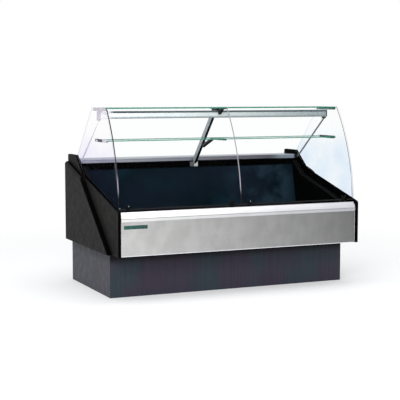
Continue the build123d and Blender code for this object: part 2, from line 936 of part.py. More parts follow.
for index, name in enumerate(key_names):
    with BuildPart() as key:
        x = controller_x + key_first + index * key_pitch - key_pitch / 2
        top = bezel_at + bezel_thick + key_travel + 0.3
        slab(top - key_depth, key_depth, x - key_w / 2, x + key_w / 2, key_z - key_h / 2, key_z + key_h / 2)
        fillet(key.edges().group_by(Axis.Y)[-1], 0.5)
    key.part.label = f"controller_key_{name}"
    export_step(key.part, f"parts/controller_key_{name}.step")

switch_wall = 2.0
switch_bezel = 2.5
rocker_axis_at = rear_at - 2.0
rocker_tilt = 10.0
with BuildPart() as switch_frame:
    slab(
        rear_at - 20,
        20 + sheet,
        switch_x - switch_w / 2,
        switch_x + switch_w / 2,
        controller_z - switch_h / 2,
        controller_z + switch_h / 2,
    )
    with BuildSketch(facing_back(switch_x, bezel_at, controller_z)):
        RectangleRounded(switch_w + 6, switch_h + 6, 2)
    extrude(amount=switch_bezel)
    cut_slab(
        rear_at - 14,
        14 + sheet + switch_bezel,
        switch_x - switch_w / 2 + switch_wall,
        switch_x + switch_w / 2 - switch_wall,
        controller_z - switch_h / 2 + switch_wall,
        controller_z + switch_h / 2 - switch_wall,
    )
switch_frame.part.label = "switch_frame"
export_step(switch_frame.part, "parts/switch_frame.step")

rocker_half = switch_h / 2 - switch_wall - 1.5
rocker_reach = bezel_at + switch_bezel - rocker_axis_at + 1.5
with BuildPart() as switch_rocker:
    rocker_width = switch_w - 2 * switch_wall - 2 * play
    with BuildSketch(Plane.YZ.offset(switch_x - rocker_width / 2)):
        with BuildLine():
            tilt = radians(rocker_tilt)
            corners = [
                (-3.0, -rocker_half + 3),
                (rocker_reach - 2, -rocker_half),
                (rocker_reach - 3.5, 0.0),
                (rocker_reach - 2, rocker_half),
                (-3.0, rocker_half - 3),
            ]
            turned = [
                (
                    behind(rocker_axis_at) + a * cos(tilt) - b * sin(tilt),
                    controller_z + a * sin(tilt) + b * cos(tilt),
                )
                for a, b in corners
            ]
            Polyline(*turned, close=True)
        make_face()
    extrude(amount=rocker_width)
switch_rocker.part.label = "switch_rocker"
export_step(switch_rocker.part, "parts/switch_rocker.step")

# ---- curved front glass and its hinges ----
pivot_at = 39.0
pivot_z = 632.0
pin_r = 4.0
pin_play = 0.05
knuckle_r = 7.5
knuckle_half = 10.0
ear = 5.0
ear_gap = play
clamp_high = 674.0
clamp_step = 649.0  # the clamp is wide above this height and narrow below it
clamp_low = 630.0
clamp_thick = 5.0
clamp_half = 17.0
pane_edge = front_half - 0.5
pane_joint = 1.5
hinge_inset = 72.0


def glass_ring(outer, inner, z_low, z_high):
    """Part of the ring between two radii, between two heights."""
    with BuildLine() as outline:
        middle_z = (z_low + z_high) / 2
        far = [(glass_face_at(z, outer), z) for z in (z_low, middle_z, z_high)]
        near = [(glass_face_at(z, inner), z) for z in (z_high, middle_z, z_low)]
        far_points = profile(far)
        near_points = profile(near)
        ThreePointArc(*far_points)
        Line(far_points[2], near_points[0])
        ThreePointArc(*near_points)
        Line(near_points[2], far_points[0])
    make_face(outline.edges())


inner_radius = glass_radius - glass_thick
hinge_x = {
    side: (sign * (pane_joint + hinge_inset), sign * (pane_edge - hinge_inset))
    for side, sign in sides.items()
}
for side, sign in sides.items():
    with BuildPart() as front_glass:
        with BuildSketch(Plane.YZ.offset(sign * pane_joint)):
            glass_ring(glass_radius, inner_radius, glass_low, glass_high)
        extrude(amount=sign * (pane_edge - pane_joint))
        chamfer(front_glass.edges().filter_by(GeomType.CIRCLE), 1.0)
    front_glass.part.label = f"front_glass_{side}"
    export_step(front_glass.part, f"parts/front_glass_{side}.step")

    with BuildPart() as glass_hinge_clamps:
        for x in hinge_x[side]:
            bond = inner_radius - 0.1
            for half, low, high in (
                (clamp_half, clamp_step, clamp_high),
                (knuckle_half, clamp_low, clamp_step),
            ):
                with BuildSketch(Plane.YZ.offset(x - half)):
                    glass_ring(bond, bond - clamp_thick, low, high)
                extrude(amount=2 * half)
            with BuildSketch(Plane.YZ.offset(x - knuckle_half)):
                with Locations((behind(pivot_at), pivot_z)):
                    Circle(knuckle_r)
            extrude(amount=2 * knuckle_half)
            with BuildSketch(Plane.YZ.offset(x - knuckle_half)):
                with Locations((behind(pivot_at), pivot_z)):
                    Circle(pin_r + pin_play)
            extrude(amount=2 * knuckle_half, mode=Mode.SUBTRACT)
    glass_hinge_clamps.part.label = f"glass_hinge_clamps_{side}"
    export_step(glass_hinge_clamps.part, f"parts/glass_hinge_clamps_{side}.step")

hinge_low = wall_top + sheet
base_front = 32.0
base_back = 60.0
ear_r = 7.0
base_thick = 4.0
with BuildPart() as glass_hinge_bases:
    for pair in hinge_x.values():
        for x in pair:
            outside = knuckle_half + ear_gap + ear
            width = (x - outside, x + outside)
            slab(base_front, base_back - base_front, *width, hinge_low, hinge_low + base_thick)
            for direction in (-1, 1):
                plane = Plane.YZ.offset(x + direction * (knuckle_half + ear_gap))
                with BuildSketch(plane):
                    with BuildLine():
                        Polyline(
                            *profile(
                                [
                                    (base_front, hinge_low),
                                    (base_back, hinge_low),
                                    (pivot_at + ear_r - 1, pivot_z),
                                    (pivot_at - ear_r + 1, pivot_z),
                                ]
                            ),
                            close=True,
                        )
                    make_face()
                    with Locations((behind(pivot_at), pivot_z)):
                        Circle(ear_r)
                    with Locations((behind(pivot_at), pivot_z)):
                        Circle(pin_r + 0.01, mode=Mode.SUBTRACT)
                extrude(amount=direction * ear)
glass_hinge_bases.part.label = "glass_hinge_bases"
export_step(glass_hinge_bases.part, "parts/glass_hinge_bases.step")

pin_half = knuckle_half + ear_gap + ear
with BuildPart() as glass_hinge_pins:
    for pair in hinge_x.values():
        for x in pair:
            with BuildSketch(Plane.YZ.offset(x - pin_half)):
                with Locations((behind(pivot_at), pivot_z)):
                    Circle(pin_r)
            extrude(amount=2 * pin_half)
glass_hinge_pins.part.label = "glass_hinge_pins"
export_step(glass_hinge_pins.part, "parts/glass_hinge_pins.step")

# ---- top glass, shelf glass ----
plate_edge = 934.0
top_low = glass_high - plate_thick - 1
top_front = 294.0
top_back = 575.0
shelf_low = 1102.0
shelf_front = 284.0
shelf_back = 529.0
plates = {
    "top_glass": (top_low, top_front, top_back),
    "shelf_glass": (shelf_low, shelf_front, shelf_back),
}
for name, (low, front, back) in plates.items():
    with BuildPart() as plate:
        for sign in sides.values():
            ends = sorted((sign * pane_joint, sign * plate_edge))
            slab(front, back - front, *ends, low, low + plate_thick)
        chamfer(plate.edges().filter_by(Axis.X), 0.8)
    plate.part.label = name
    export_step(plate.part, f"parts/{name}.step")

# ---- canopy with its lamp ----
canopy_front = 415.0
canopy_back = 505.0
canopy_low = 1260.0
canopy_high = 1313.0
canopy_half = 928.0
canopy_wall = 2.5
mouth_front = 428.0
mouth_back = 492.0
with BuildPart() as canopy:
    with BuildSketch(Plane.YZ) as canopy_sketch:
        with BuildLine():
            Polyline(
                *profile(
                    [
                        (canopy_front, canopy_low),
                        (canopy_back, canopy_low),
                        (canopy_back, canopy_high),
                        (canopy_front, canopy_high),
                    ]
                ),
                close=True,
            )
        make_face()
        fillet(canopy_sketch.vertices().group_by(Axis.Y)[-1], 9)
        fillet(canopy_sketch.vertices().group_by(Axis.Y)[0], 4)
        offset(amount=-canopy_wall, mode=Mode.SUBTRACT)
    extrude(amount=canopy_half, both=True)
    mouth = mouth_back - mouth_front
    cut_slab(mouth_front, mouth, -canopy_half, canopy_half, canopy_low - 1, canopy_low + canopy_wall)
canopy.part.label = "canopy"
export_step(canopy.part, "parts/canopy.step")

with BuildPart() as lamp_diffuser:
    diffuser_half = canopy_half - gap
    diffuser_depth = mouth_back - mouth_front - 2 * gap
    slab(mouth_front + gap, diffuser_depth, -diffuser_half, diffuser_half, canopy_low, canopy_low + 2)
lamp_diffuser.part.label = "lamp_diffuser"
export_step(lamp_diffuser.part, "parts/lamp_diffuser.step")

lamp_r = 13.0
lamp_at = (canopy_front + canopy_back) / 2
lamp_z = 1286.0
socket_long = 24.0
socket_in = canopy_half - socket_long
with BuildPart() as lamp_tube:
    with BuildSketch(Plane.YZ):
        with Locations((behind(lamp_at), lamp_z)):
            Circle(lamp_r)
    extrude(amount=socket_in, both=True)
lamp_tube.part.label = "lamp_tube"
export_step(lamp_tube.part, "parts/lamp_tube.step")

cap_thick = 3.0
with BuildPart() as canopy_end_caps:
    for sign in sides.values():
        with BuildSketch(Plane.YZ.offset(sign * canopy_half)) as cap_sketch:
            with Locations((behind(lamp_at), (canopy_low + canopy_high) / 2)):
                RectangleRounded(canopy_back - canopy_front, canopy_high - canopy_low, 8)
        extrude(amount=sign * cap_thick)
        ends = sorted((sign * socket_in, sign * (canopy_half + 1)))
        slab(lamp_at - 17, 34, *ends, lamp_z - 17, lamp_z + 20)
canopy_end_caps.part.label = "canopy_end_caps"
export_step(canopy_end_caps.part, "parts/canopy_end_caps.step")

# ---- struts and brackets of the glass superstructure ----
hanger_in = canopy_half + cap_thick
hanger_out = end_glass_in - seam
hanger_low = 1246.0
hanger_at = 446.0
hanger_width = 34.0
hanger_tuck = 10.0  # how far a hanger reaches under the canopy's end
bar_z = top_low - 6
bar_in = 929.0
bar_out = 935.0
bar_rise = 0.775  # rise of an end strut per millimetre forward
bar_start = (892.0, 914.6)
bar_half = 7.6  # half its height, measured upright
with BuildPart() as end_struts:
    for sign in sides.values():
        with BuildSketch(Plane.YZ.offset(sign * bar_in)):
            with BuildLine():
                top_z = hanger_low - seam
                run = (top_z - bar_start[1]) / bar_rise
                shift = bar_half / bar_rise
                Polyline(
                    *profile(
                        [
                            (bar_start[0], bar_start[1] - bar_half),
                            (bar_start[0], bar_start[1] + bar_half),
                            (bar_start[0] - run + shift, top_z),
                            (bar_start[0] - run - shift, top_z),
                        ]
                    ),
                    close=True,
                )
            make_face()
        extrude(amount=sign * (bar_out - bar_in))
end_struts.part.label = "end_struts"
export_step(end_struts.part, "parts/end_struts.step")

strut_half_x = 11.0
strut_rise = 1.0804  # rise of the centre strut per millimetre forward
strut_middle = (822.5, 961.7)  # a point on its middle line
strut_half = 30.9  # half its height, measured upright
strut_back = rail_front - 2
strut_foot_z = 893.0
strut_head_at = canopy_back + 7
strut_top_z = canopy_high - 1


def strut_under(distance):
    """Height of the centre strut's lower face."""
    return strut_middle[1] + (strut_middle[0] - distance) * strut_rise - strut_half


def strut_reach(height, offset):
    """Distance at which a line above or below the strut's middle line meets a height."""
    return strut_middle[0] - (height - strut_middle[1] - offset) / strut_rise


strut_top_back = strut_reach(strut_top_z, strut_half)


with BuildPart() as centre_strut:
    with BuildSketch(Plane.YZ):
        with BuildLine():
            Polyline(
                *profile(
                    [
                        (strut_reach(strut_foot_z, -strut_half), strut_foot_z),
                        (strut_back, strut_foot_z),
                        (strut_back, strut_under(strut_back) + 2 * strut_half),
                        (strut_top_back, strut_top_z),
                        (strut_head_at, strut_top_z),
                        (strut_head_at, strut_under(strut_head_at)),
                    ]
                ),
                close=True,
            )
        make_face()
    extrude(amount=strut_half_x, both=True)
    fillet(centre_strut.edges().filter_by(Axis.X, reverse=True).filter_by(Axis.Z, reverse=True), 2)
centre_strut.part.label = "centre_strut"
export_step(centre_strut.part, "parts/centre_strut.step")

stud_r = 5.5
stud_head = 2.5
stud_place = (884.0, 920.8)
head_half = 20.0
head_low = 1268.0
foot_plate = (-34.0, 30.0)  # left and right edges of the plate under the centre strut
foot_plate_low = 868.0
knob_x = 14.0
knob_z = 882.0
knob_r = 8.5
knob_long = 12.0
with BuildPart() as strut_fittings:
    head_face = canopy_back + seam
    slab(head_face, strut_head_at - seam - head_face, -head_half, head_half, head_low, strut_top_z)
    slab(
        strut_head_at,
        strut_top_back - strut_head_at,
        -strut_half_x,
        strut_half_x,
        strut_top_z + seam,
        bar_z - seam,
    )
    foot_face = strut_back + seam
    slab(foot_face, discharge_at - seam - foot_face, *foot_plate, foot_plate_low, rail_low - 1)
    with BuildSketch(facing_back(knob_x, foot_face - knob_long, knob_z)):
        Circle(knob_r)
    extrude(amount=knob_long)
    fillet(strut_fittings.edges().filter_by(GeomType.CIRCLE).group_by(Axis.Y)[0], 3)
    for sign in sides.values():
        beside = sorted((sign * (hanger_in + seam), sign * hanger_out))
        under = sorted((sign * (hanger_in - hanger_tuck), sign * hanger_out))
        slab(hanger_at, hanger_width, *beside, canopy_low - seam, canopy_high - 2)
        slab(hanger_at, hanger_width, *under, hanger_low, canopy_low - seam)
        for start, length in ((bar_out, half_inner - bar_out), (bar_in, -stud_head)):
            with BuildSketch(Plane.YZ.offset(sign * start)):
                with Locations(*profile([stud_place])):
                    Circle(stud_r)
            extrude(amount=sign * length)
strut_fittings.part.label = "strut_fittings"
export_step(strut_fittings.part, "parts/strut_fittings.step")

arm_half = 6.0
arm_root = (735.0, 712.0)  # where the shelf arm leaves the centre strut
arm_bend = 560.0
arm_tip = 300.0
arm_tip_deep = 8.0
arm_deep = 11.0
clip_long = 34.0
clip_starts = (306.0, 474.0)
clip_thick = 6.0
clip_in = 918.0
bar_front = 300.0
bar_long = 265.0
side_bar_in = 926.0
middle_bar_half = 9.0
saddle = (430.0, 60.0)  # front and depth of the block that carries the middle bar on the canopy
bracket_front = 345.0
bracket_low = 1284.0
with BuildPart() as glass_supports:
    with BuildSketch(Plane.YZ):
        with BuildLine():
            Polyline(
                *profile(
                    [
                        (arm_root[0], strut_under(arm_root[0]) - seam),
                        (arm_root[1], strut_under(arm_root[1]) - seam),
                        (arm_bend, shelf_low - seam),
                        (arm_tip, shelf_low - seam),
                        (arm_tip, shelf_low - arm_tip_deep),
                        (arm_bend - 8, shelf_low - arm_deep),
                    ]
                ),
                close=True,
            )
        make_face()
    extrude(amount=arm_half, both=True)
    for sign in sides.values():
        beside = sorted((sign * (plate_edge + seam), sign * hanger_out))
        for start in clip_starts:
            under = sorted((sign * clip_in, sign * hanger_out))
            slab(start, clip_long, *under, shelf_low - clip_thick, shelf_low - seam)
            slab(start, clip_long, *beside, shelf_low - seam, shelf_low + plate_thick)
        under = sorted((sign * side_bar_in, sign * hanger_out))
        slab(bar_front, bar_long, *under, bar_z, top_low - seam)
        slab(bar_front, bar_long, *beside, top_low - seam, top_low + plate_thick)
    slab(bar_front, bar_long, -middle_bar_half, middle_bar_half, bar_z, top_low - seam)
    slab(*saddle, -head_half, head_half, canopy_high + seam, bar_z)
    with BuildSketch(Plane.YZ):
        with BuildLine():
            Polyline(
                *profile(
                    [
                        (bracket_front, bar_z),
                        (canopy_front - gap, bar_z),
                        (canopy_front - gap, bracket_low),
                        (canopy_front - 11, bracket_low),
                    ]
                ),
                close=True,
            )
        make_face()
    extrude(amount=middle_bar_half, both=True)
glass_supports.part.label = "glass_supports"
export_step(glass_supports.part, "parts/glass_supports.step")
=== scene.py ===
import json
import math

import bmesh
import bpy
from mathutils import Matrix, Vector


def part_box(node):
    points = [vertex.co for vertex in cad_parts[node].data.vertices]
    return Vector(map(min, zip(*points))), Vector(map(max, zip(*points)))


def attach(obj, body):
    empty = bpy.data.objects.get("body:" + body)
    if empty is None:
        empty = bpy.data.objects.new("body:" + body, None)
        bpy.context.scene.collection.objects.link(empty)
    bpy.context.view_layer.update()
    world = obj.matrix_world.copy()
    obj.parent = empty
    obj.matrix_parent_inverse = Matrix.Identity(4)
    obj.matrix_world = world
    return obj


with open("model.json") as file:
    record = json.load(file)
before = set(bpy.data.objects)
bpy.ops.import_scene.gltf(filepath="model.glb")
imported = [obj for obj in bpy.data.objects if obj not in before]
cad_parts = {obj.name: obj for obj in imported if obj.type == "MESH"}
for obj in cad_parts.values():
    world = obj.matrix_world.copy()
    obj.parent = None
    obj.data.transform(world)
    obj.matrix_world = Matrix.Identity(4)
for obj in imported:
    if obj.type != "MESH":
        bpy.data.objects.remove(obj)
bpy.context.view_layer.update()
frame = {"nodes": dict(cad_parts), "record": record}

# The looks of a refrigerated deli case, in metres, in the CAD model's frame:
# X along the counter, +Y towards the server's side, +Z up.

nodes = frame["nodes"]
sides = {"left": -1, "right": 1}


def low(node):
    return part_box(node)[0]


def high(node):
    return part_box(node)[1]


# ---- driving sizes, read from the frame where it has them ----
face_y = low("front_panel").y  # the steel front's outer face
bottom_z = low("front_panel").z
steel_top = high("front_panel").z
panel_half = high("front_panel").x
inner_half = low("end_panel_right").x  # inner face of an end panel
glass_radius = 1.256
glass_thick = 0.006
glass_centre = Vector((0, face_y + 1.290, 0.592))
glass_low = low("front_glass_left").z
glass_high = high("front_glass_left").z


def glass_y(z, radius):
    """Y of a ring of the curved glass at a height."""
    return glass_centre.y - math.sqrt(radius**2 - (z - glass_centre.z) ** 2)


# ---- shading ----
def rgb(code):
    """Linear colour of a hexadecimal sRGB code."""
    parts = [int(code[i : i + 2], 16) / 255 for i in (0, 2, 4)]
    linear = [p / 12.92 if p <= 0.04045 else ((p + 0.055) / 1.055) ** 2.4 for p in parts]
    return (*linear, 1.0)


class Graph:
    """A material's node tree, with short calls for what the finishes share."""

    def __init__(self, name):
        self.material = bpy.data.materials.new(name)
        self.material.use_nodes = True
        self.tree = self.material.node_tree
        self.tree.nodes.clear()
        self.output = self.add("ShaderNodeOutputMaterial")
        self.where = self.add("ShaderNodeTexCoord")

    def add(self, kind, **settings):
        node = self.tree.nodes.new(kind)
        for key, value in settings.items():
            setattr(node, key, value)
        return node

    def feed(self, socket, value):
        if isinstance(value, bpy.types.NodeSocket):
            self.tree.links.new(value, socket)
        else:
            socket.default_value = value

    def math(self, operation, *values):
        node = self.add("ShaderNodeMath", operation=operation)
        for socket, value in zip(node.inputs, values):
            self.feed(socket, value)
        return node.outputs[0]

    def axis(self, source, name):
        node = self.add("ShaderNodeSeparateXYZ")
        self.feed(node.inputs[0], self.where.outputs[source])
        return node.outputs[name]

    def noise(self, size, detail=3.0, stretch=(1, 1, 1), offset=0.0):
        """Clouds about size metres across, longer along an axis by its stretch."""
        place = self.add("ShaderNodeMapping")
        self.feed(place.inputs["Vector"], self.where.outputs["Object"])
        place.inputs["Location"].default_value = (offset, offset * 1.7, offset * 0.6)
        place.inputs["Scale"].default_value = [1 / (size * s) for s in stretch]
        node = self.add("ShaderNodeTexNoise")
        node.inputs["Scale"].default_value = 1.0
        node.inputs["Detail"].default_value = detail
        self.feed(node.inputs["Vector"], place.outputs[0])
        return node.outputs[0]

    def span(self, value, start, end, first, last, smooth=True):
        """value from start..end mapped to first..last, and held outside."""
        kind = "SMOOTHSTEP" if smooth else "LINEAR"
        node = self.add("ShaderNodeMapRange", interpolation_type=kind)
        for name, number in (
            ("Value", value),
            ("From Min", start),
            ("From Max", end),
            ("To Min", first),
            ("To Max", last),
        ):
            self.feed(node.inputs[name], number)
        return node.outputs[0]

    def mix(self, factor, first, second):
        node = self.add("ShaderNodeMix", data_type="RGBA")
        self.feed(node.inputs[0], factor)
        self.feed(node.inputs[6], first)
        self.feed(node.inputs[7], second)
        return node.outputs[2]

    def worn(self, radius):
        """1 on sharp edges, 0 on flats."""
        bevel = self.add("ShaderNodeBevel", samples=4)
        bevel.inputs["Radius"].default_value = radius
        plain = self.add("ShaderNodeNewGeometry")
        dot = self.add("ShaderNodeVectorMath", operation="DOT_PRODUCT")
        self.feed(dot.inputs[0], bevel.outputs[0])
        self.feed(dot.inputs[1], plain.outputs["Normal"])
        return self.span(dot.outputs["Value"], 0.97, 0.80, 0.0, 1.0)

    def shader(self, colour, roughness, bump=None, depth=0.0002, **plain):
        node = self.add("ShaderNodeBsdfPrincipled")
        self.feed(node.inputs["Base Color"], colour)
        self.feed(node.inputs["Roughness"], roughness)
        for name, value in plain.items():
            node.inputs[name.replace("_", " ")].default_value = value
        if bump is not None:
            relief = self.add("ShaderNodeBump")
            relief.inputs["Strength"].default_value = 0.6
            relief.inputs["Distance"].default_value = depth
            self.feed(relief.inputs["Height"], bump)
            self.feed(node.inputs["Normal"], relief.outputs[0])
        return node.outputs[0]

    def finish(self, shader):
        self.feed(self.output.inputs["Surface"], shader)
        return self.material


def moulded(name, code, spread, roughness=0.55, grain=0.0012, level=0.35, wear=0.0):
    """Moulded plastic or paint: fine grain, cloudy colour, and paler worn edges."""
    g = Graph(name)
    clouds = g.noise(0.22, 4.0)
    pale = tuple(min(1.0, c * (1 + spread)) for c in rgb(code)[:3]) + (1,)
    dark = tuple(c * (1 - spread) for c in rgb(code)[:3]) + (1,)
    colour = g.mix(g.span(clouds, 0.3, 0.7, 0.0, 1.0), dark, pale)
    if wear:
        rubbed = g.math("MULTIPLY", g.worn(0.002), g.noise(0.03, 2.0, offset=4.0))
        colour = g.mix(g.math("MULTIPLY", rubbed, wear), colour, rgb("8a8a8c"))
    rough = g.span(g.noise(0.06, 3.0, offset=2.0), 0.3, 0.7, roughness - 0.07, roughness + 0.07)
    relief = g.noise(grain, 2.0)
    return g.finish(g.shader(colour, rough, relief, 0.00012, Specular_IOR_Level=level))


def brushed(name, code, spread, along, roughness=0.3, shine=1.0, lines=0.0006):
    """Brushed or drawn metal, with its lines along one axis."""
    g = Graph(name)
    stretch = [1, 1, 1]
    stretch["XYZ".index(along)] = 60
    hair = g.noise(lines, 2.0, stretch)
    bands = g.noise(0.006, 3.0, stretch, offset=3.0)
    clouds = g.noise(0.16, 4.0, offset=7.0)
    mixed = g.math("ADD", g.math("MULTIPLY", bands, 0.45), g.math("MULTIPLY", clouds, 0.55))
    pale = tuple(min(1.0, c * (1 + spread)) for c in rgb(code)[:3]) + (1,)
    dark = tuple(c * (1 - spread) for c in rgb(code)[:3]) + (1,)
    colour = g.mix(g.span(mixed, 0.32, 0.68, 0.0, 1.0), dark, pale)
    rough = g.span(mixed, 0.3, 0.7, roughness - 0.06, roughness + 0.08)
    return g.finish(g.shader(colour, rough, hair, 0.00006, Metallic=shine, Anisotropic=0.5))


def pane(name, clear, edge, faces_axis=None, shine=0.1, painted_light=None, edge_open=0.0):
    """Clear faces with a weak mirror, and edges of their own.

    edge is two tints, or four that change with height: a painted shade at the foot, a painted
    highlight, the top and the top of the middle joint. faces_axis is the axis that the sheet's
    flat faces look along; a curved sheet has none, and its edges look along X. painted_light is
    the heights where a painted glare tint starts and ends, then that tint on the left and on the
    right. edge_open is how clear the edges are.
    """
    g = Graph(name)
    z = g.axis("Object", "Z")
    tint = rgb(clear)
    # painted glare: a tint that fades upwards, one on the left and another on the right
    if painted_light:
        fade = g.span(z, painted_light[0], painted_light[1], 1.0, 0.0)
        drift = g.span(g.noise(0.30, 3.0), 0.3, 0.7, 0.35, 1.0)
        right = g.math("GREATER_THAN", g.axis("Object", "X"), 0.0)
        cast = g.mix(right, rgb(painted_light[2]), rgb(painted_light[3]))
        tint = g.mix(g.math("MULTIPLY", fade, drift), rgb(clear), cast)
    through = g.add("ShaderNodeBsdfTransparent")
    g.feed(through.inputs["Color"], tint)
    mirror = g.add("ShaderNodeBsdfGlossy")
    mirror.inputs["Color"].default_value = (0.9, 0.95, 0.97, 1)
    smear = g.span(g.noise(0.05, 3.0, (1, 1, 3)), 0.45, 0.75, 0.02, 0.07)
    g.feed(mirror.inputs["Roughness"], smear)
    rim = g.add("ShaderNodeLayerWeight")
    rim.inputs["Blend"].default_value = 0.5
    grazing = g.math("POWER", rim.outputs["Facing"], 5.0)
    head_on = 0.04 if faces_axis == "Z" else 0.0  # the panes' own would only show as grain
    amount = g.math("MULTIPLY", g.math("MULTIPLY_ADD", grazing, 0.6, head_on), shine)
    face = g.add("ShaderNodeMixShader")
    g.feed(face.inputs[0], amount)
    g.feed(face.inputs[1], through.outputs[0])
    g.feed(face.inputs[2], mirror.outputs[0])
    ground = g.span(g.noise(0.004, 2.0), 0.3, 0.7, 0.0, 1.0)
    # painted highlight and shade on the edges: dark at the foot, light above it, by height
    if len(edge) == 4:
        upper = g.span(z, 0.83, 0.89, 0.0, 1.0)
        lower = g.span(z, 0.72, 0.78, 0.0, 1.0)
        middle = g.math("LESS_THAN", g.math("ABSOLUTE", g.axis("Object", "X")), 0.1)
        top = g.mix(middle, rgb(edge[2]), rgb(edge[3]))
        colour = g.mix(upper, g.mix(lower, rgb(edge[0]), rgb(edge[1])), top)
    else:
        colour = g.mix(ground, rgb(edge[0]), rgb(edge[1]))
    rough = g.span(ground, 0.0, 1.0, 0.25, 0.42)
    gloss = 0.05 if len(edge) == 4 else 0.3
    body = g.shader(colour, rough, ground, 0.0001, Specular_IOR_Level=gloss)
    light = g.add("ShaderNodeBsdfTransparent")
    light.inputs["Color"].default_value = rgb("eeedf0")
    border = g.add("ShaderNodeMixShader")
    border.inputs[0].default_value = edge_open
    g.feed(border.inputs[1], body)
    g.feed(border.inputs[2], light.outputs[0])
    along = g.math("GREATER_THAN", g.math("ABSOLUTE", g.axis("Normal", faces_axis or "X")), 0.5)
    is_edge = g.math("SUBTRACT", 1.0, along) if faces_axis else along
    choice = g.add("ShaderNodeMixShader")
    g.feed(choice.inputs[0], is_edge)
    g.feed(choice.inputs[1], face.outputs[0])
    g.feed(choice.inputs[2], border.outputs[0])
    return g.finish(choice.outputs[0])


def steel_front():
    """Satin steel sheet, dulled by cloudy wipe marks, with a painted reflection that makes it darker
    towards its right end.
    """
    g = Graph("steel_front")
    hair = g.noise(0.0006, 2.0, (80, 1, 1))
    bands = g.noise(0.010, 3.0, (30, 1, 1), offset=3.0)
    clouds = g.noise(0.09, 5.0, (1, 1, 1.6), offset=9.0)
    mixed = g.math("ADD", g.math("MULTIPLY", bands, 0.15), g.math("MULTIPLY", clouds, 0.85))
    # painted reflection: paler at the left end, darker at the right, as light falls on the sheet
    turn = g.span(g.axis("Object", "X"), -0.95, 0.95, 0.0, 1.0, smooth=False)
    pale = g.mix(turn, rgb("d5d5d3"), rgb("868686"))
    dark = g.mix(turn, rgb("c8c8c6"), rgb("7e7e7f"))
    colour = g.mix(g.span(mixed, 0.36, 0.64, 0.0, 1.0), dark, pale)
    rough = g.span(mixed, 0.3, 0.7, 0.34, 0.44)
    return g.finish(g.shader(colour, rough, hair, 0.00002, Metallic=1.0, Anisotropic=0.4))


def end_panel():
    """Charcoal moulded shell with painted shade: its steps, rims and inner face are a matt near black, and
    its recessed front part is darker than the proud part.
    """
    g = Graph("end_panel")
    x = g.axis("Object", "X")
    outward = g.math("MULTIPLY", g.axis("Normal", "X"), g.math("SIGN", x))
    # painted shade: faces that don't look outwards (steps, rims, inner face) are coloured near black
    outer = g.math("GREATER_THAN", outward, 0.45)
    proud = g.math("GREATER_THAN", g.math("ABSOLUTE", x), inner_half + 0.03)
    clouds = g.span(g.noise(0.25, 4.0), 0.3, 0.7, 0.0, 1.0)
    # painted shade: the recessed front part is coloured darker than the proud part of the same moulding
    front = g.mix(clouds, rgb("131211"), rgb("181715"))
    raised = g.mix(clouds, rgb("191918"), rgb("1f1e1d"))
    face = g.mix(proud, front, raised)
    colour = g.mix(outer, rgb("030303"), face)
    rough = g.span(g.noise(0.05, 3.0, offset=2.0), 0.3, 0.7, 0.62, 0.74)
    node = g.shader(colour, rough, g.noise(0.0011, 2.0), 0.00006)
    g.feed(node.node.inputs["Specular IOR Level"], g.math("MULTIPLY_ADD", outer, 0.08, 0.02))
    return g.finish(node)


def liner(name, first, second, third, shine=0.10, black_sides=False):
    """Dark coated sheet, cloudy, with a teal cast.

    With black_sides its side walls and floor are painted black as shade, and its back wall has a painted
    light patch, paler on the right.
    """
    g = Graph(name)
    clouds = g.span(g.noise(0.16, 4.0, offset=5.0), 0.35, 0.65, 0.0, 1.0)
    wide = g.span(g.noise(0.45, 2.0, offset=1.0), 0.35, 0.65, 0.0, 1.0)
    colour = g.mix(wide, g.mix(clouds, rgb(first), rgb(second)), rgb(third))
    if black_sides:
        x = g.axis("Object", "X")
        # painted light: a paler patch on the right of the back wall
        painted_light = g.math("MULTIPLY", g.span(x, 0.15, 0.60, 0.0, 1.0), g.span(x, 0.78, 0.92, 1.0, 0.0))
        colour = g.mix(g.math("MULTIPLY", painted_light, clouds), colour, rgb("22333f"))
        # painted shade: the side walls and floor are coloured black
        side = g.math("GREATER_THAN", g.math("ABSOLUTE", g.axis("Normal", "X")), 0.5)
        floor = g.math("GREATER_THAN", g.axis("Normal", "Z"), 0.5)
        colour = g.mix(g.math("MAXIMUM", side, floor), colour, rgb("040404"))
    rough = g.span(g.noise(0.08, 3.0), 0.3, 0.7, 0.45, 0.60)
    relief = g.noise(0.0015, 2.0)
    return g.finish(g.shader(colour, rough, relief, 0.00006, Specular_IOR_Level=shine))


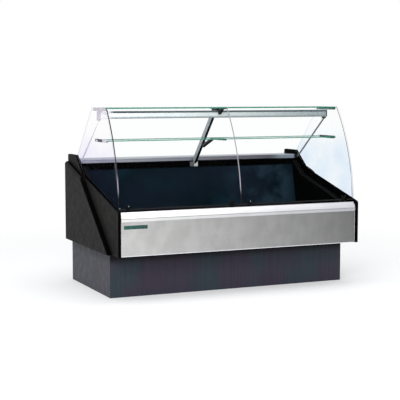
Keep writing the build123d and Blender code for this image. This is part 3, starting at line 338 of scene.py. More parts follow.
def banded(name, stops, rough, shine, blur, level=0.5, end=None, start=None, tip=None):
    """An extrusion whose colour changes over its height, partly as painted highlights and shade,
    and fades along its length as painted light, pale on the left and dark on the right.

    stops are (height, left colour, right colour), from the lowest; start and end are painted light
    colours for the first and last stretch, and tip a painted shade for the very end on the right.
    """
    g = Graph(name)
    # painted light: pale at the left end, dark at the right
    turn = g.span(g.axis("Object", "X"), -0.93, 0.93, 0.0, 1.0, smooth=False)
    z = g.axis("Object", "Z")
    hair = g.noise(0.0005, 2.0, (80, 1, 1))
    clouds = g.span(g.noise(0.12, 4.0, offset=6.0), 0.3, 0.7, -0.03, 0.03)
    colour = None
    for height, left, right in stops:
        tone = g.mix(turn, rgb(left), rgb(right))
        if colour is None:
            colour = tone
        else:
            step = g.span(z, height - blur, height + blur, 0.0, 1.0)
            colour = g.mix(step, colour, tone)
    # painted light on the first and last stretch, painted shade at the right tip
    if start:
        first = g.span(g.axis("Object", "X"), -0.885, -0.825, 1.0, 0.0)
        colour = g.mix(first, colour, rgb(start))
    if end:
        last = g.span(g.axis("Object", "X"), 0.66, 0.80, 0.0, 1.0)
        colour = g.mix(last, colour, rgb(end))
    if tip:
        cut = g.span(g.axis("Object", "X"), 0.895, 0.905, 0.0, 1.0)
        colour = g.mix(cut, colour, rgb(tip))
    value = g.add("ShaderNodeHueSaturation")
    g.feed(value.inputs["Value"], g.math("ADD", 1.0, clouds))
    g.feed(value.inputs["Color"], colour)
    roughness = g.span(clouds, -0.03, 0.03, rough - 0.04, rough + 0.04)
    relief = (hair, 0.00001)
    extra = {"Metallic": shine, "Anisotropic": 0.3, "Specular_IOR_Level": level}
    return g.finish(g.shader(value.outputs[0], roughness, *relief, **extra))


def plinth_coat():
    """Slate powder coat with teal and plum clouds, vertical streaks, a painted shadow under the body, and
    sides painted lighter than the front.
    """
    g = Graph("plinth")
    side = g.math("GREATER_THAN", g.math("ABSOLUTE", g.axis("Normal", "X")), 0.5)
    clouds = g.span(g.noise(0.28, 4.0, (1, 1, 1.5), offset=2.0), 0.4, 0.6, 0.0, 1.0)
    streaks = g.span(g.noise(0.012, 2.0, (1, 1, 40)), 0.3, 0.7, 0.90, 1.08)
    colour = g.mix(clouds, rgb("313a42"), rgb("393441"))
    # painted light: the sides are coloured lighter than the front
    colour = g.mix(side, colour, rgb("43434a"))
    z = g.axis("Object", "Z")
    # painted shadow under the body: darker towards the top, deepest on the front
    painted_shadow = g.span(z, bottom_z - 0.095, bottom_z - 0.028, 1.0, 0.0)
    painted_shadow_limit = g.math("MULTIPLY_ADD", side, 0.66, 0.14)
    shade = g.math("MULTIPLY_ADD", painted_shadow, g.math("SUBTRACT", 1.0, painted_shadow_limit), painted_shadow_limit)
    value = g.add("ShaderNodeHueSaturation")
    g.feed(value.inputs["Value"], g.math("MULTIPLY", shade, streaks))
    g.feed(value.inputs["Color"], colour)
    rough = g.span(g.noise(0.05, 3.0), 0.3, 0.7, 0.5, 0.65)
    relief = g.noise(0.0014, 2.0)
    return g.finish(g.shader(value.outputs[0], rough, relief, 0.00012, Specular_IOR_Level=0.15))


def sided(name, left, right, level=0.4):
    """Moulded parts with painted light, the left ones pale and the right ones dark, with a fine grain."""
    g = Graph(name)
    # painted light: pale at the left end, dark at the right
    turn = g.span(g.axis("Object", "X"), -0.90, -0.60, 0.0, 1.0)
    clouds = g.span(g.noise(0.05, 3.0), 0.3, 0.7, -0.08, 0.08)
    value = g.add("ShaderNodeHueSaturation")
    g.feed(value.inputs["Value"], g.math("ADD", 1.0, clouds))
    g.feed(value.inputs["Color"], g.mix(turn, rgb(left), rgb(right)))
    rough = g.span(clouds, -0.08, 0.08, 0.40, 0.52)
    return g.finish(
        g.shader(value.outputs[0], rough, g.noise(0.001, 2.0), 0.0001, Specular_IOR_Level=level)
    )


def strut_steel():
    """Brushed struts with painted light: the left end rod near white, the right one grey, the centre
    strut's back and right faces a painted shade, and all darker lower down.
    """
    g = Graph("strut")
    x = g.axis("Object", "X")
    hair = g.noise(0.0006, 2.0, (1, 1, 60))
    clouds = g.span(g.noise(0.03, 3.0), 0.3, 0.7, -0.08, 0.08)
    # painted shade: the centre strut's faces that don't look left are dark, darkest low down
    shade = g.math("GREATER_THAN", g.axis("Normal", "X"), -0.5)
    # painted shade: darker lower down
    height = g.span(g.axis("Object", "Z"), 0.95, 1.25, 0.85, 1.0)
    dark = g.mix(g.span(g.axis("Object", "Z"), 1.0, 1.2, 0.0, 1.0), rgb("060609"), rgb("26272b"))
    centre = g.mix(shade, rgb("aab1b6"), dark)
    # painted light: the left rod near white, the right one grey
    left = g.math("LESS_THAN", x, -0.5)
    right = g.math("GREATER_THAN", x, 0.5)
    colour = g.mix(left, g.mix(right, centre, rgb("75787c")), rgb("fbfbfd"))
    value = g.add("ShaderNodeHueSaturation")
    g.feed(value.inputs["Value"], g.math("MULTIPLY", g.math("ADD", 1.0, clouds), height))
    g.feed(value.inputs["Color"], colour)
    out = g.shader(value.outputs[0], 0.4, hair, 0.00003, Specular_IOR_Level=0.2)
    g.feed(out.node.inputs["Metallic"], g.math("MULTIPLY", g.math("SUBTRACT", 1.0, left), 0.2))
    return g.finish(out)


def fittings():
    """Small cast fittings with painted light: pale on the left end, dark on the right one, and between them
    a painted highlight right of the middle, grey left of it and high up.
    """
    g = Graph("fitting")
    x = g.axis("Object", "X")
    clouds = g.span(g.noise(0.02, 3.0), 0.3, 0.7, 0.85, 1.0)
    # painted light by where each fitting sits
    left = g.math("LESS_THAN", x, -0.5)
    right = g.math("GREATER_THAN", x, 0.5)
    high_up = g.math("GREATER_THAN", g.axis("Object", "Z"), 1.2)
    knob = g.math("GREATER_THAN", x, 0.0)
    middle = g.mix(high_up, g.mix(knob, rgb("62666c"), rgb("fafafa")), rgb("454d51"))
    colour = g.mix(left, g.mix(right, middle, rgb("34363a")), rgb("d2ccd8"))
    value = g.add("ShaderNodeHueSaturation")
    g.feed(value.inputs["Value"], clouds)
    g.feed(value.inputs["Color"], colour)
    rough = g.span(clouds, 0.85, 1.0, 0.25, 0.4)
    return g.finish(g.shader(value.outputs[0], rough, g.noise(0.001, 1.0), 0.00005, Metallic=0.3))


def opal():
    """Milky plastic strip with fine prisms along it."""
    g = Graph("opal")
    prisms = g.noise(0.002, 1.0, (1, 1, 1))
    colour = g.mix(g.span(g.noise(0.2, 3.0), 0.3, 0.7, 0.0, 1.0), rgb("dfe4e6"), rgb("f2f5f5"))
    return g.finish(g.shader(colour, 0.45, prisms, 0.0003, Subsurface_Weight=0.2))


canopy_low = low("canopy").z
canopy_high = high("canopy").z
rail_low = low("rear_rail").z
bumper_low = low("bumper_rail").z
# edge tones by height: painted shade at the foot, a painted highlight, the top, the top of the middle joint
grey_edge = ("18181b", "a7a2ab", "46464d", "97979e")
faint_edge = ("0c0c0e", "8f8b94", "d6d7db", "d6d7db")
green_edge = ("1d6b52", "4f9c85")
made = {
    "steel_panel": steel_front(),
    "end_panel": end_panel(),
    "plinth": plinth_coat(),
    # painted highlights: bands of light and grey over the height, pale on the left and darker on the right
    "bumper": banded(
        "bumper",
        [
            (0.0, "b9b9bd", "9a9aa4"),
            (bumper_low + 0.0025, "dcdcda", "b2b2b8"),
            (bumper_low + 0.0205, "cbcbc6", "a6a6ae"),
            (bumper_low + 0.0262, "fdfdfc", "c9c8cd"),
        ],
        rough=0.42,
        shine=0.1,
        blur=0.0012,
        level=0.4,
    ),
    "cap_black": moulded("cap_black", "121213", 0.2, 0.5, 0.001, 0.3),
    "badge": moulded("badge", "12493f", 0.25, 0.3, 0.0008, 0.5),
    "curved_glass": pane("curved_glass", "feffff", grey_edge),
    "end_glass": pane(
        "end_glass",
        "fefefe",
        faint_edge,
        faces_axis="X",
        shine=0.01,
        # painted glare on the end glass, lavender on the left and blue on the right
        painted_light=(0.90, 1.22, "f4f2fc", "edf4fb"),
        edge_open=0.92,
    ),
    "shelf_glass": pane("shelf_glass", "fafefd", green_edge, faces_axis="Z", shine=0.35),
    "liner": liner("liner", "03131a", "09202a", "101a26", 0.05, True),
    "insulation": liner("insulation", "060607", "0a0a0b", "080809", 0.05),
    "deck": liner("deck", "08070c", "0f0b13", "0a0b10", 0.12),
    "grille_black": moulded("grille_black", "040405", 0.3, 0.65, 0.001, 0.04),
    # painted light: pale on the left, dark on the right, a paler last stretch and a painted shade at the
    # tip
    "rail": banded(
        "rail",
        [
            (0.0, "30343a", "1c1d20"),
            (rail_low + 0.008, "b7b7c2", "59585f"),
            (rail_low + 0.027, "979aa2", "525158"),
        ],
        rough=0.34,
        shine=0.75,
        blur=0.0012,
        end="99a1ab",
        tip="1b1c21",
    ),
    # painted light: pale on the left, dark on the right, paler still on the first stretch; a dark band runs
    # along the top
    "canopy": banded(
        "canopy",
        [
            (0.0, "8c9095", "848b8c"),
            (canopy_low + 0.0085, "d4dade", "8d9496"),
            (canopy_low + 0.0155, "feffff", "969fa2"),
            (canopy_low + 0.0395, "38383f", "50585e"),
        ],
        rough=0.45,
        shine=0.0,
        blur=0.0015,
        start="ece6ee",
    ),
    # painted light: pale end caps on the left, dark on the right
    "cap_grey": sided("cap_grey", "d9d3dc", "3b3c42"),
    "diffuser": opal(),
    "lamp": moulded("lamp", "f2f4f3", 0.04, 0.25, 0.004, 0.5),
    "strut": strut_steel(),
    # painted light: pale brackets on the left, dark on the right
    "bracket": sided("bracket", "c4bfca", "1a1b1e", 0.30),
    "fitting": fittings(),
    "hinge": moulded("hinge", "060708", 0.25, 0.45, 0.0008, 0.1),
    "pin": brushed("pin", "c4c6c8", 0.08, "X", 0.18, 1.0),
    "worktop": brushed("worktop", "b8bbbd", 0.08, "X", 0.3, 1.0),
    "rear_panel": moulded("rear_panel", "38383c", 0.12, 0.5, 0.0015, 0.3, 0.3),
    "controller": moulded("controller", "1a1a1c", 0.15, 0.42, 0.0008, 0.4),
    "key": moulded("key", "55565a", 0.10, 0.6, 0.0006, 0.3),
    "rocker": moulded("rocker", "177a34", 0.15, 0.25, 0.0008, 0.5),
    "frame_steel": moulded("frame_steel", "1b1b1d", 0.15, 0.45, 0.0015, 0.35, 0.4),
    "foot": moulded("foot", "18181a", 0.2, 0.55, 0.001, 0.3),
    "galvanised": brushed("galvanised", "b4babd", 0.16, "Z", 0.38, 0.9, 0.004),
    "coil": brushed("coil", "c6c8ca", 0.12, "Z", 0.34, 1.0),
    "fan": moulded("fan", "161618", 0.2, 0.5, 0.001, 0.35),
    "motor": moulded("motor", "3c4046", 0.15, 0.4, 0.0015, 0.4, 0.3),
    "compressor": moulded("compressor", "0f0f10", 0.2, 0.3, 0.002, 0.5, 0.4),
    "copper": brushed("copper", "b8714a", 0.2, "Z", 0.32, 1.0),
    "tray_plastic": moulded("tray_plastic", "a4a6a7", 0.08, 0.5, 0.001, 0.35),
    "pipe_plastic": moulded("pipe_plastic", "a9abac", 0.08, 0.45, 0.001, 0.35),
    "gland": moulded("gland", "151517", 0.15, 0.5, 0.0008, 0.35),
}
slot_of = {row["node"]: row["material_slot"] for row in frame["record"]["subparts"]}
for node, thing in nodes.items():
    for holder in thing.material_slots:
        holder.material = made[slot_of[node]]


# ---- mesh helpers ----
def settle(name, mesh, body, slot, angle=35, finish=None):
    """Turns a bmesh into a piece that rides on a body and takes a slot's finish."""
    bmesh.ops.recalc_face_normals(mesh, faces=mesh.faces)
    data = bpy.data.meshes.new(name)
    mesh.to_mesh(data)
    mesh.free()
    data.materials.append(finish or made[slot])
    piece = bpy.data.objects.new(name, data)
    bpy.context.scene.collection.objects.link(piece)
    data.shade_smooth()
    data.set_sharp_from_angle(angle=math.radians(angle))
    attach(piece, body)
    return piece


def bridge(mesh, rings):
    """Faces between closed rings of points, with a cap on each end."""
    loops = [[mesh.verts.new(p) for p in ring] for ring in rings]
    count = len(loops[0])
    for first, second in zip(loops, loops[1:]):
        for i in range(count):
            j = (i + 1) % count
            mesh.faces.new((first[i], first[j], second[j], second[i]))
    mesh.faces.new(list(reversed(loops[0])))
    mesh.faces.new(loops[-1])


def prism(mesh, outline, x_low, x_high):
    """A bar along X with a (Y, Z) outline."""
    bridge(mesh, [[(x, y, z) for y, z in outline] for x in (x_low, x_high)])


def block(mesh, lowest, highest, ease=0.0006):
    """A box with its edges eased."""
    made_box = bmesh.ops.create_cube(mesh, size=1.0)
    size = Vector(highest) - Vector(lowest)
    middle = (Vector(highest) + Vector(lowest)) / 2
    move = Matrix.Translation(middle) @ Matrix.Diagonal((*size, 1.0))
    bmesh.ops.transform(mesh, matrix=move, verts=made_box["verts"])
    if ease:
        edges = list({e for v in made_box["verts"] for e in v.link_edges})
        bmesh.ops.bevel(mesh, geom=edges, offset=ease, segments=2, affect="EDGES", profile=0.6)


def lathe(mesh, place, direction, profile, steps=24):
    """A turned shape: profile is (radius, height) pairs along direction from place."""
    turn = Vector((0, 0, 1)).rotation_difference(Vector(direction)).to_matrix()
    rings = []
    for radius, height in profile:
        ring = []
        for i in range(steps):
            a = 2 * math.pi * i / steps
            ring.append(Vector(place) + turn @ Vector((radius * math.cos(a), radius * math.sin(a), height)))
        rings.append(ring)
    bridge(mesh, rings)


def screw(mesh, place, direction, radius):
    """A domed head with a six-sided socket."""
    turn = Vector((0, 0, 1)).rotation_difference(Vector(direction)).to_matrix()
    rise = radius * 0.55
    socket = radius * 0.45
    rings = []
    for r, height, sided in (
        (radius, 0.0, False),
        (radius, rise * 0.25, False),
        (radius * 0.93, rise * 0.6, False),
        (radius * 0.75, rise * 0.9, False),
        (radius * 0.55, rise, False),
        (socket, rise, True),
        (socket, rise * 0.35, True),
    ):
        ring = []
        for i in range(12):
            a = math.pi * i / 6
            out = r * (math.cos(math.pi / 6) if sided and i % 2 else 1.0)
            ring.append(Vector(place) + turn @ Vector((out * math.cos(a), out * math.sin(a), height)))
        rings.append(ring)
    bridge(mesh, rings)


def tube(mesh, points, radius, sides_round):
    """A wire through points, which lie in one plane or nearly so."""
    rings = []
    for i, p in enumerate(points):
        before = points[i - 1] if i else p
        after = points[i + 1] if i < len(points) - 1 else p
        along = (Vector(after) - Vector(before)).normalized()
        side = along.orthogonal().normalized() if not rings else side_of(along, last_side)
        last_side = side
        up = along.cross(side)
        ring = []
        for k in range(sides_round):
            a = 2 * math.pi * k / sides_round
            ring.append(Vector(p) + radius * (math.cos(a) * side + math.sin(a) * up))
        rings.append(ring)
    bridge(mesh, rings)


def side_of(along, previous):
    """The side vector nearest to the previous one, square to along."""
    return (previous - along * previous.dot(along)).normalized()


def arc_bar(mesh, x_low, x_high, z_low, z_high, outer, inner, steps=24):
    """A strip between two radii of the curved glass, following its curve."""
    rings = []
    for i in range(steps + 1):
        z = z_low + (z_high - z_low) * i / steps
        far = glass_y(z, outer)
        near = glass_y(z, inner)
        rings.append([(x_low, far, z), (x_high, far, z), (x_high, near, z), (x_low, near, z)])
    bridge(mesh, rings)


# ---- seals and trims ----


def seal_finish(name, foot, highlight, top, level, gloss=0.3):
    """Soft seal with a painted highlight, a lighter stretch between the two heights in level, and painted
    shade below it.
    """
    g = Graph(name)
    z = g.axis("Object", "Z")
    upper = g.span(z, level[1] - 0.03, level[1] + 0.05, 0.0, 1.0)
    lower = g.span(z, level[0] - 0.04, level[0] + 0.02, 0.0, 1.0)
    colour = g.mix(upper, g.mix(lower, rgb(foot), rgb(highlight)), rgb(top))
    grain = g.noise(0.002, 2.0)
    rough = g.span(grain, 0.3, 0.7, 0.35, 0.5)
    return g.finish(g.shader(colour, rough, grain, 0.00005, Specular_IOR_Level=gloss))


half_gap = 0.0012
mesh = bmesh.new()
seal_radii = (glass_radius - 0.0007, glass_radius - 0.0053)
arc_bar(mesh, -half_gap, half_gap, glass_low, glass_high - 0.001, *seal_radii)
# painted highlight on the joint seal between these heights
joint_seal = seal_finish("seal_joint", "1a1a1e", "a9a3aa", "9a9aa0", (0.74, 0.95))
settle("glass_butt_seal", mesh, "front_glass_left", "curved_glass", finish=joint_seal)

# soft strip on the left end glass's front edge, which the curved glass closes on
# painted highlight on the strip, with painted shade below it
strip_finish = seal_finish("seal_end", "08080a", "8d8792", "3a3440", (0.77, 0.86), 0.05)
mesh = bmesh.new()
strip_out = 0.9364  # the strip's outer edge, short of the pane's end
strip_wide = 0.0075
strip_clear = 0.012  # how far the strip stops short of the pane's top and foot
inner_radius = glass_radius - glass_thick
strip_radii = (inner_radius - 0.0006, inner_radius - 0.0030)
strip_ends = (-strip_out, strip_wide - strip_out)
arc_bar(
    mesh, *strip_ends, glass_low + strip_clear, glass_high - strip_clear, *strip_radii, steps=36
)
settle("end_glass_strip_left", mesh, "case", "cap_black", finish=strip_finish)

rubber = moulded("seal_black", "0c0c0d", 0.2, 0.6, 0.0012, 0.3)
wrap = 0.001  # thickness of the rubber round the glass's lower edge
wrap_gap = 0.0002  # between that rubber and the glass
wrap_up = 0.007  # how far the rubber reaches up the glass
wrap_short = 0.002  # how far it stops short of the pane's ends
clear_of_hinge = 0.022  # half the opening that it leaves for a clamp
clamps_apart = 0.1  # vertices further apart than this belong to different clamps
seal_foot = glass_low - wrap
seal_top = glass_low + wrap_up
heights = (seal_foot, (seal_foot + seal_top) / 2, seal_top)
outline = [(glass_y(z, glass_radius + wrap), z) for z in heights]
outline += [
    (glass_y(seal_top, glass_radius) + wrap_gap, seal_top),
    (glass_y(glass_low, glass_radius) + wrap_gap, glass_low - wrap_gap),
    (glass_y(glass_low, inner_radius) - wrap_gap, glass_low - wrap_gap),
    (glass_y(seal_top, inner_radius) - wrap_gap, seal_top),
]
outline += [(glass_y(z, inner_radius - wrap), z) for z in reversed(heights)]
for side in sides:
    clamps = nodes[f"glass_hinge_clamps_{side}"]
    spans = []
    for x in sorted(v.co.x for v in clamps.data.vertices):
        if not spans or x - spans[-1][1] > clamps_apart:
            spans.append([x, x])
        spans[-1][1] = x
    stops = [low(f"front_glass_{side}").x + wrap_short]
    for first, last in spans:
        centre = (first + last) / 2
        stops += [centre - clear_of_hinge, centre + clear_of_hinge]
    stops.append(high(f"front_glass_{side}").x - wrap_short)
    mesh = bmesh.new()
    for start, end in zip(stops[::2], stops[1::2]):
        prism(mesh, outline, start, end)
    settle(f"glass_sill_seal_{side}", mesh, f"front_glass_{side}", "cap_black", finish=rubber)

mesh = bmesh.new()
nose_y = low("bumper_rail").y
inlay_half = 0.933
inlay_y = (nose_y + 0.0012, nose_y + 0.0038)
inlay_z = (0.5823, 0.5847)
inlay_ends = ((-inlay_half, inlay_y[0], inlay_z[0]), (inlay_half, inlay_y[1], inlay_z[1]))
block(mesh, *inlay_ends, 0.0004)
inlay_finish = moulded("inlay", "9c9ca0", 0.1, 0.5, 0.001)
settle("bumper_inlay", mesh, "case", "cap_black", finish=inlay_finish)

mesh = bmesh.new()
hem = 0.0045
proud = 0.0008
hem_ease = 0.0003
for sign in sides.values():
    ends = sorted((sign * panel_half, sign * (panel_half - hem)))
    block(mesh, (ends[0], face_y - proud, bottom_z), (ends[1], face_y, steel_top), hem_ease)
block(
    mesh,
    (-panel_half + hem, face_y - proud, bottom_z),
    (panel_half - hem, face_y, bottom_z + hem),
    hem_ease,
)
# painted highlight: the hems are coloured much paler than the steel beside them
hem_finish = brushed("hem", "f0f0f6", 0.05, "X", 0.25, 0.6)
settle("front_panel_hems", mesh, "case", "steel_panel", finish=hem_finish)

# rubber beads along the end panels' top edge, on both faces of each end glass
bead = 0.0022
bead_seat = bead * 0.55  # from the glass's face to the bead's middle
bead_lift = 0.0006
bead_steps = 8  # between two corners of its path
bead_path = ((0.045, 0.644), (0.757, 0.834), (0.926, 0.9705))  # distance behind the front, height
glass_in = low("end_glass_right").x
glass_out = high("end_glass_right").x
mesh = bmesh.new()
for sign in sides.values():
    for x in (glass_in - bead_seat, glass_out + bead_seat):
        points = []
        for (d0, z0), (d1, z1) in zip(bead_path, bead_path[1:]):
            for k in range(bead_steps):
                t = k / bead_steps
                y = face_y + d0 + (d1 - d0) * t
                points.append(Vector((sign * x, y, z0 + (z1 - z0) * t + bead_lift)))
        last_d, last_z = bead_path[-1]
        points.append(Vector((sign * x, face_y + last_d, last_z + bead_lift)))
        tube(mesh, points, bead, 8)
bead_finish = moulded("bead_black", "030303", 0.2, 0.9, 0.0012, 0.0)
settle("end_glass_beads", mesh, "case", "cap_black", 60, bead_finish)


def channel(name, x_low, x_high, y_low, y_high, z_low, z_high, finish):
    """A channel pushed over the end of a glass sheet, open towards the middle."""
    mesh = bmesh.new()
    wall = 0.0012
    for low_z, high_z in ((z_low, z_low + wall), (z_high - wall, z_high)):
        block(mesh, (x_low, y_low, low_z), (x_high, y_high, high_z), 0.0004)
    ends = (x_high - wall, x_high) if x_low > 0 else (x_low, x_low + wall)
    block(mesh, (ends[0], y_low, z_low + wall), (ends[1], y_high, z_high - wall), 0.0)
    settle(name, mesh, "case", "bracket", finish=finish)


# painted light: the front of the left shelf channel and the left top bar are coloured pale, their copies
# behind and on the right darker
dark_trim = moulded("dark_trim", "1f2123", 0.15, 0.4, 0.001, 0.4)
green_trim = moulded("green_trim", "5f7d79", 0.15, 0.3, 0.001, 0.4)
pale_trim = moulded("pale_trim", "d4cfda", 0.05, 0.4, 0.001, 0.4)
top_trim = moulded("top_trim_pale", "c4b9c2", 0.05, 0.4, 0.001, 0.4)
shelf_low, shelf_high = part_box("shelf_glass")
shelf_step = shelf_low.y + 0.085  # where the left channel's painted light turns from pale to dark
shelf_z = (shelf_low.z - 0.0075, shelf_high.z + 0.0045)
glass_end = shelf_high.x
past_end = glass_end + 0.003
left_in = 0.012 - glass_end
right_in = glass_end - 0.016
right_front = shelf_low.y + 0.02
for name, place, finish in (
    ("left", (-past_end, left_in, shelf_step, shelf_high.y), dark_trim),
    ("front_left", (-past_end, left_in, shelf_low.y, shelf_step), pale_trim),
    ("right", (right_in, past_end, right_front, shelf_high.y), dark_trim),
):
    channel(f"shelf_channel_{name}", *place, *shelf_z, finish)

# bars under the top glass's ends
top_low, top_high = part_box("top_glass")
top_in = glass_end - 0.012
top_out = 0.9396
top_inset = 0.012
top_z = (1.3155, 1.3246)
for (side, sign), trim in zip(sides.items(), (top_trim, green_trim)):
    ends = sorted((sign * top_in, sign * top_out))
    mesh = bmesh.new()
    block(
        mesh,
        (ends[0], top_low.y + top_inset, top_z[0]),
        (ends[1], top_high.y - top_inset, top_z[1]),
        0.001,
    )
    settle(f"top_channel_{side}", mesh, "case", "bracket", finish=trim)

# ---- lip round the canopy's right end ----
mesh = bmesh.new()
lip_x = (0.9225, 0.9318)
lip_y = (low("canopy").y - 0.0015, low("canopy").y + 0.02)
lip_inset = 0.001
block(
    mesh,
    (lip_x[0], lip_y[0], canopy_low + lip_inset),
    (lip_x[1], lip_y[1], canopy_high - lip_inset),
    0.0012,
)
lip_finish = moulded("lip_grey", "3f444a", 0.15, 0.4, 0.001, 0.4)
settle("canopy_lip_right", mesh, "case", "cap_grey", finish=lip_finish)

# ---- rubber sleeve on the shelf's middle arm ----
mesh = bmesh.new()
arm_low = Vector((0, 0.140, 1.034))
arm_high = Vector((0, -0.020, 1.093))
sleeve_radius = 0.0105
count = 14
points = [arm_low.lerp(arm_high, i / count) for i in range(count + 1)]
tube(mesh, points, sleeve_radius, 12)
settle("shelf_arm_sleeve", mesh, "case", "bracket", finish=rubber)

# ---- screws ----
grille_y = high("plinth_rear_grille").y
mesh = bmesh.new()
rear_screw = 0.0045
for y, rows, count, pitch in (
    (high("rear_panel").y, (0.345, 0.885), 9, 0.225),
    (grille_y, (0.025, 0.298), 7, 0.305),
):
    for z in rows:
        for i in range(count):
            x = (i - (count - 1) / 2) * pitch
            screw(mesh, (x, y, z), (0, 1, 0), rear_screw)
settle("rear_screws", mesh, "case", "fitting", 40)

hinge_x = (0.0735, 0.8645)
hinge_screw = 0.0024
hinge_pitch = 0.012
mesh = bmesh.new()
base_y = face_y + 0.055
base_top = low("glass_hinge_bases").z + 0.004
for sign in sides.values():
    for x in hinge_x:
        for offset in (-hinge_pitch / 2, hinge_pitch / 2):
            screw(mesh, (sign * x + offset, base_y, base_top), (0, 0, 1), hinge_screw)
settle("hinge_screws", mesh, "case", "fitting", 40)

# ---- caps at the clamps and at the left pane's lower corner, coloured bright as painted glints ----
painted_glint = brushed("painted_glint", "86a0a4", 0.05, "X", 0.35, 0.2)
cap_proud = 0.0012
caps = {  # place along the counter, height above the pane's foot, radius
    "left": ((-hinge_x[1], 0.024, 0.0038), (-0.9300, 0.012, 0.0038)),
    "right": ((hinge_x[0], 0.022, 0.0044),),
}
for side, places in caps.items():
    mesh = bmesh.new()
    for x, lift, size in places:
        z = glass_low + lift
        screw(mesh, (x, glass_y(z, glass_radius) - cap_proud, z), (0, -1, 0.1), size)
    settle(f"pane_caps_{side}", mesh, f"front_glass_{side}", "pin", 40, painted_glint)

# ---- louvre hoods over the rear grille's slots ----
mesh = bmesh.new()
hood_long = 0.150
hood_deep = 0.0045
hood_lip = 0.0008  # thickness of a hood's lower edge
hood_steps = 12
slot_columns = 4
slot_rows = 8
slot_pitch = (0.18, 0.026)
slot_middle = (-0.24, 0.160)
above_slot = 0.004
for column in range(slot_columns):
    x = slot_middle[0] + (column - (slot_columns - 1) / 2) * slot_pitch[0]
    for row in range(slot_rows):
        z = slot_middle[1] + (row - (slot_rows - 1) / 2) * slot_pitch[1] + above_slot
        rings = []
        for k in range(hood_steps + 1):
            t = k / hood_steps
            along = x - hood_long / 2 + hood_long * t
            fade = math.sin(math.pi * min(1.0, max(0.0, min(t, 1 - t) * 8)) / 2)
            reach = hood_deep * max(fade, 0.04)
            section = (
                (0, 0.005),
                (reach * 0.55, 0.003),
                (reach, -0.003),
                (reach - hood_lip * fade, -0.0034),
                (reach * 0.45, 0.0015),
                (0, 0.0035),
            )
            rings.append([(along, grille_y + out, z + up) for out, up in section])
        bridge(mesh, rings)
settle("rear_louvres", mesh, "case", "plinth", 30)

# ---- controller's display: two seven-segment digits ----
mesh = bmesh.new()
display_y = high("controller").y - 0.001
display_x = 0.5085
display_z = 0.8552
segments = {
    "a": ((0, 1), (1, 1)),
    "b": ((1, 0.5), (1, 1)),
    "c": ((1, 0), (1, 0.5)),
    "d": ((0, 0), (1, 0)),
    "e": ((0, 0), (0, 0.5)),
    "f": ((0, 0.5), (0, 1)),
    "g": ((0, 0.5), (1, 0.5)),
}
digits = {"2": "abged", "0": "abcdef"}
digit_wide = 0.0055
digit_high = 0.0105
digit_pitch = 0.0105
stroke = 0.0006
for place, digit in enumerate("20"):
    # seen from the back, +X runs to the left
    digit_x = display_x + (0.5 - place) * digit_pitch
    for letter in digits[digit]:
        ends = segments[letter]
        xs = sorted(digit_x - (u - 0.5) * digit_wide for u, v in ends)
        zs = sorted(display_z + (v - 0.5) * digit_high for u, v in ends)
        block(
            mesh,
            (xs[0] - stroke, display_y - 0.0001, zs[0] - stroke),
            (xs[1] + stroke, display_y + 0.0003, zs[1] + stroke),
            0.0001,
        )
glow = Graph("display_red")
beat = glow.span(glow.noise(0.002, 1.0), 0.3, 0.7, 0.8, 1.0)
red = glow.mix(beat, rgb("701010"), rgb("d02018"))
lit = glow.shader(red, 0.4, Emission_Color=rgb("ff3020"), Emission_Strength=1.2)
settle("controller_digits", mesh, "case", "rocker", finish=glow.finish(lit))

# ---- finger-hole grommets in the deck pans ----
grommet = ((0.0135, 0.0), (0.013, 0.0012), (0.0115, 0.0018), (0.0095, 0.0012), (0.009, 0.0001))
grommet_in = 0.06  # from a pan's side
grommet_behind = 0.035  # from a pan's front edge
for name in ("left", "centre", "right"):
    lowest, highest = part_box(f"deck_pan_{name}")
    mesh = bmesh.new()
    for x in (lowest.x + grommet_in, highest.x - grommet_in):
        lathe(mesh, (x, lowest.y + grommet_behind, highest.z), (0, 0, 1), grommet, 28)
    settle(f"deck_grommets_{name}", mesh, f"deck_pan_{name}", "cap_black", 40, rubber)

# ---- floor, lights and camera ----
floor_radius = 14.0
floor_fade = (1.4, 4.0)  # distances over which the floor turns from lit paint to plain white
floor_mesh = bmesh.new()
bmesh.ops.create_circle(floor_mesh, cap_ends=True, segments=96, radius=floor_radius)
floor_data = bpy.data.meshes.new("floor")
floor_mesh.to_mesh(floor_data)
floor_mesh.free()
floor = bpy.data.objects.new("floor", floor_data)
bpy.context.scene.collection.objects.link(floor)
pale = Graph("pale_floor")
spread = pale.add("ShaderNodeVectorMath", operation="LENGTH")
pale.feed(spread.inputs[0], pale.where.outputs["Object"])
fade = pale.span(spread.outputs["Value"], *floor_fade, 0.35, 1.0)
matt = pale.add("ShaderNodeBsdfDiffuse")
paint = pale.mix(pale.noise(0.8, 3.0), (0.93, 0.93, 0.935, 1), (0.95, 0.95, 0.95, 1))
pale.feed(matt.inputs["Color"], paint)
bright = pale.add("ShaderNodeEmission")
bright.inputs["Color"].default_value = (1, 1, 1, 1)
together = pale.add("ShaderNodeMixShader")
pale.feed(together.inputs[0], fade)
pale.feed(together.inputs[1], matt.outputs[0])
pale.feed(together.inputs[2], bright.outputs[0])
floor_data.materials.append(pale.finish(together.outputs[0]))

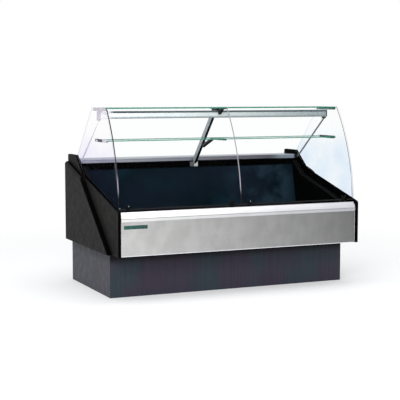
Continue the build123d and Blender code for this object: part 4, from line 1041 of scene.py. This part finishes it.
scene = bpy.context.scene
world = bpy.data.worlds.new("studio")
scene.world = world
world.use_nodes = True
sky = world.node_tree
sky.nodes.clear()
sky_out = sky.nodes.new("ShaderNodeOutputWorld")
seen = sky.nodes.new("ShaderNodeBackground")
seen.inputs["Color"].default_value = (1, 1, 1, 1)
seen.inputs["Strength"].default_value = 1.0
cast = sky.nodes.new("ShaderNodeBackground")
cast.inputs["Color"].default_value = (0.96, 0.98, 1.0, 1)
where = sky.nodes.new("ShaderNodeTexCoord")
toward = sky.nodes.new("ShaderNodeVectorMath")
toward.operation = "DOT_PRODUCT"
dim_side = Vector((0.85, -0.52, 0.0))  # where the room is darker, to shade faces that look there
toward.inputs[1].default_value = dim_side.normalized()
sky.links.new(where.outputs["Generated"], toward.inputs[0])
shape = sky.nodes.new("ShaderNodeMapRange")
shape.interpolation_type = "SMOOTHSTEP"
shape.inputs["From Min"].default_value = 0.55
shape.inputs["From Max"].default_value = 0.98
shape.inputs["To Min"].default_value = 0.85
shape.inputs["To Max"].default_value = 0.30
sky.links.new(toward.outputs["Value"], shape.inputs["Value"])
sky.links.new(shape.outputs[0], cast.inputs["Strength"])
ray = sky.nodes.new("ShaderNodeLightPath")
blend_sky = sky.nodes.new("ShaderNodeMixShader")
sky.links.new(ray.outputs["Is Camera Ray"], blend_sky.inputs[0])
sky.links.new(cast.outputs[0], blend_sky.inputs[1])
sky.links.new(seen.outputs[0], blend_sky.inputs[2])
sky.links.new(blend_sky.outputs[0], sky_out.inputs[0])


def softbox(name, place, target, width, height, watts):
    """A large area light turned to a point."""
    lamp = bpy.data.lights.new(name, "AREA")
    lamp.shape = "RECTANGLE"
    lamp.size = width
    lamp.size_y = height
    lamp.energy = watts
    holder = bpy.data.objects.new(name, lamp)
    holder.location = place
    holder.rotation_euler = (Vector(target) - Vector(place)).to_track_quat("-Z", "Y").to_euler()
    scene.collection.objects.link(holder)
    holder.visible_camera = False


softbox("key", (-3.2, -4.6, 3.0), (0, 0, 0.6), 2.6, 2.0, 150)
softbox("top", (0.2, -0.6, 4.2), (0, 0, 0.5), 3.4, 2.4, 55)

lens_px = 1080.12  # focal length for a frame 400 wide
frame_px = 400
sensor = 36.0
camera_data = bpy.data.cameras.new("camera")
camera_data.sensor_width = sensor
camera_data.lens = lens_px * sensor / frame_px
camera = bpy.data.objects.new("camera", camera_data)
camera.location = (-3.4372, -7.4697, 1.4448)
heading = math.radians(24.110)
dip = math.radians(5.666)
camera.rotation_euler = (math.radians(90) - dip, 0, -heading)
scene.collection.objects.link(camera)
scene.camera = camera
scene.view_settings.view_transform = "Standard"
scene.cycles.transparent_max_bounces = 32
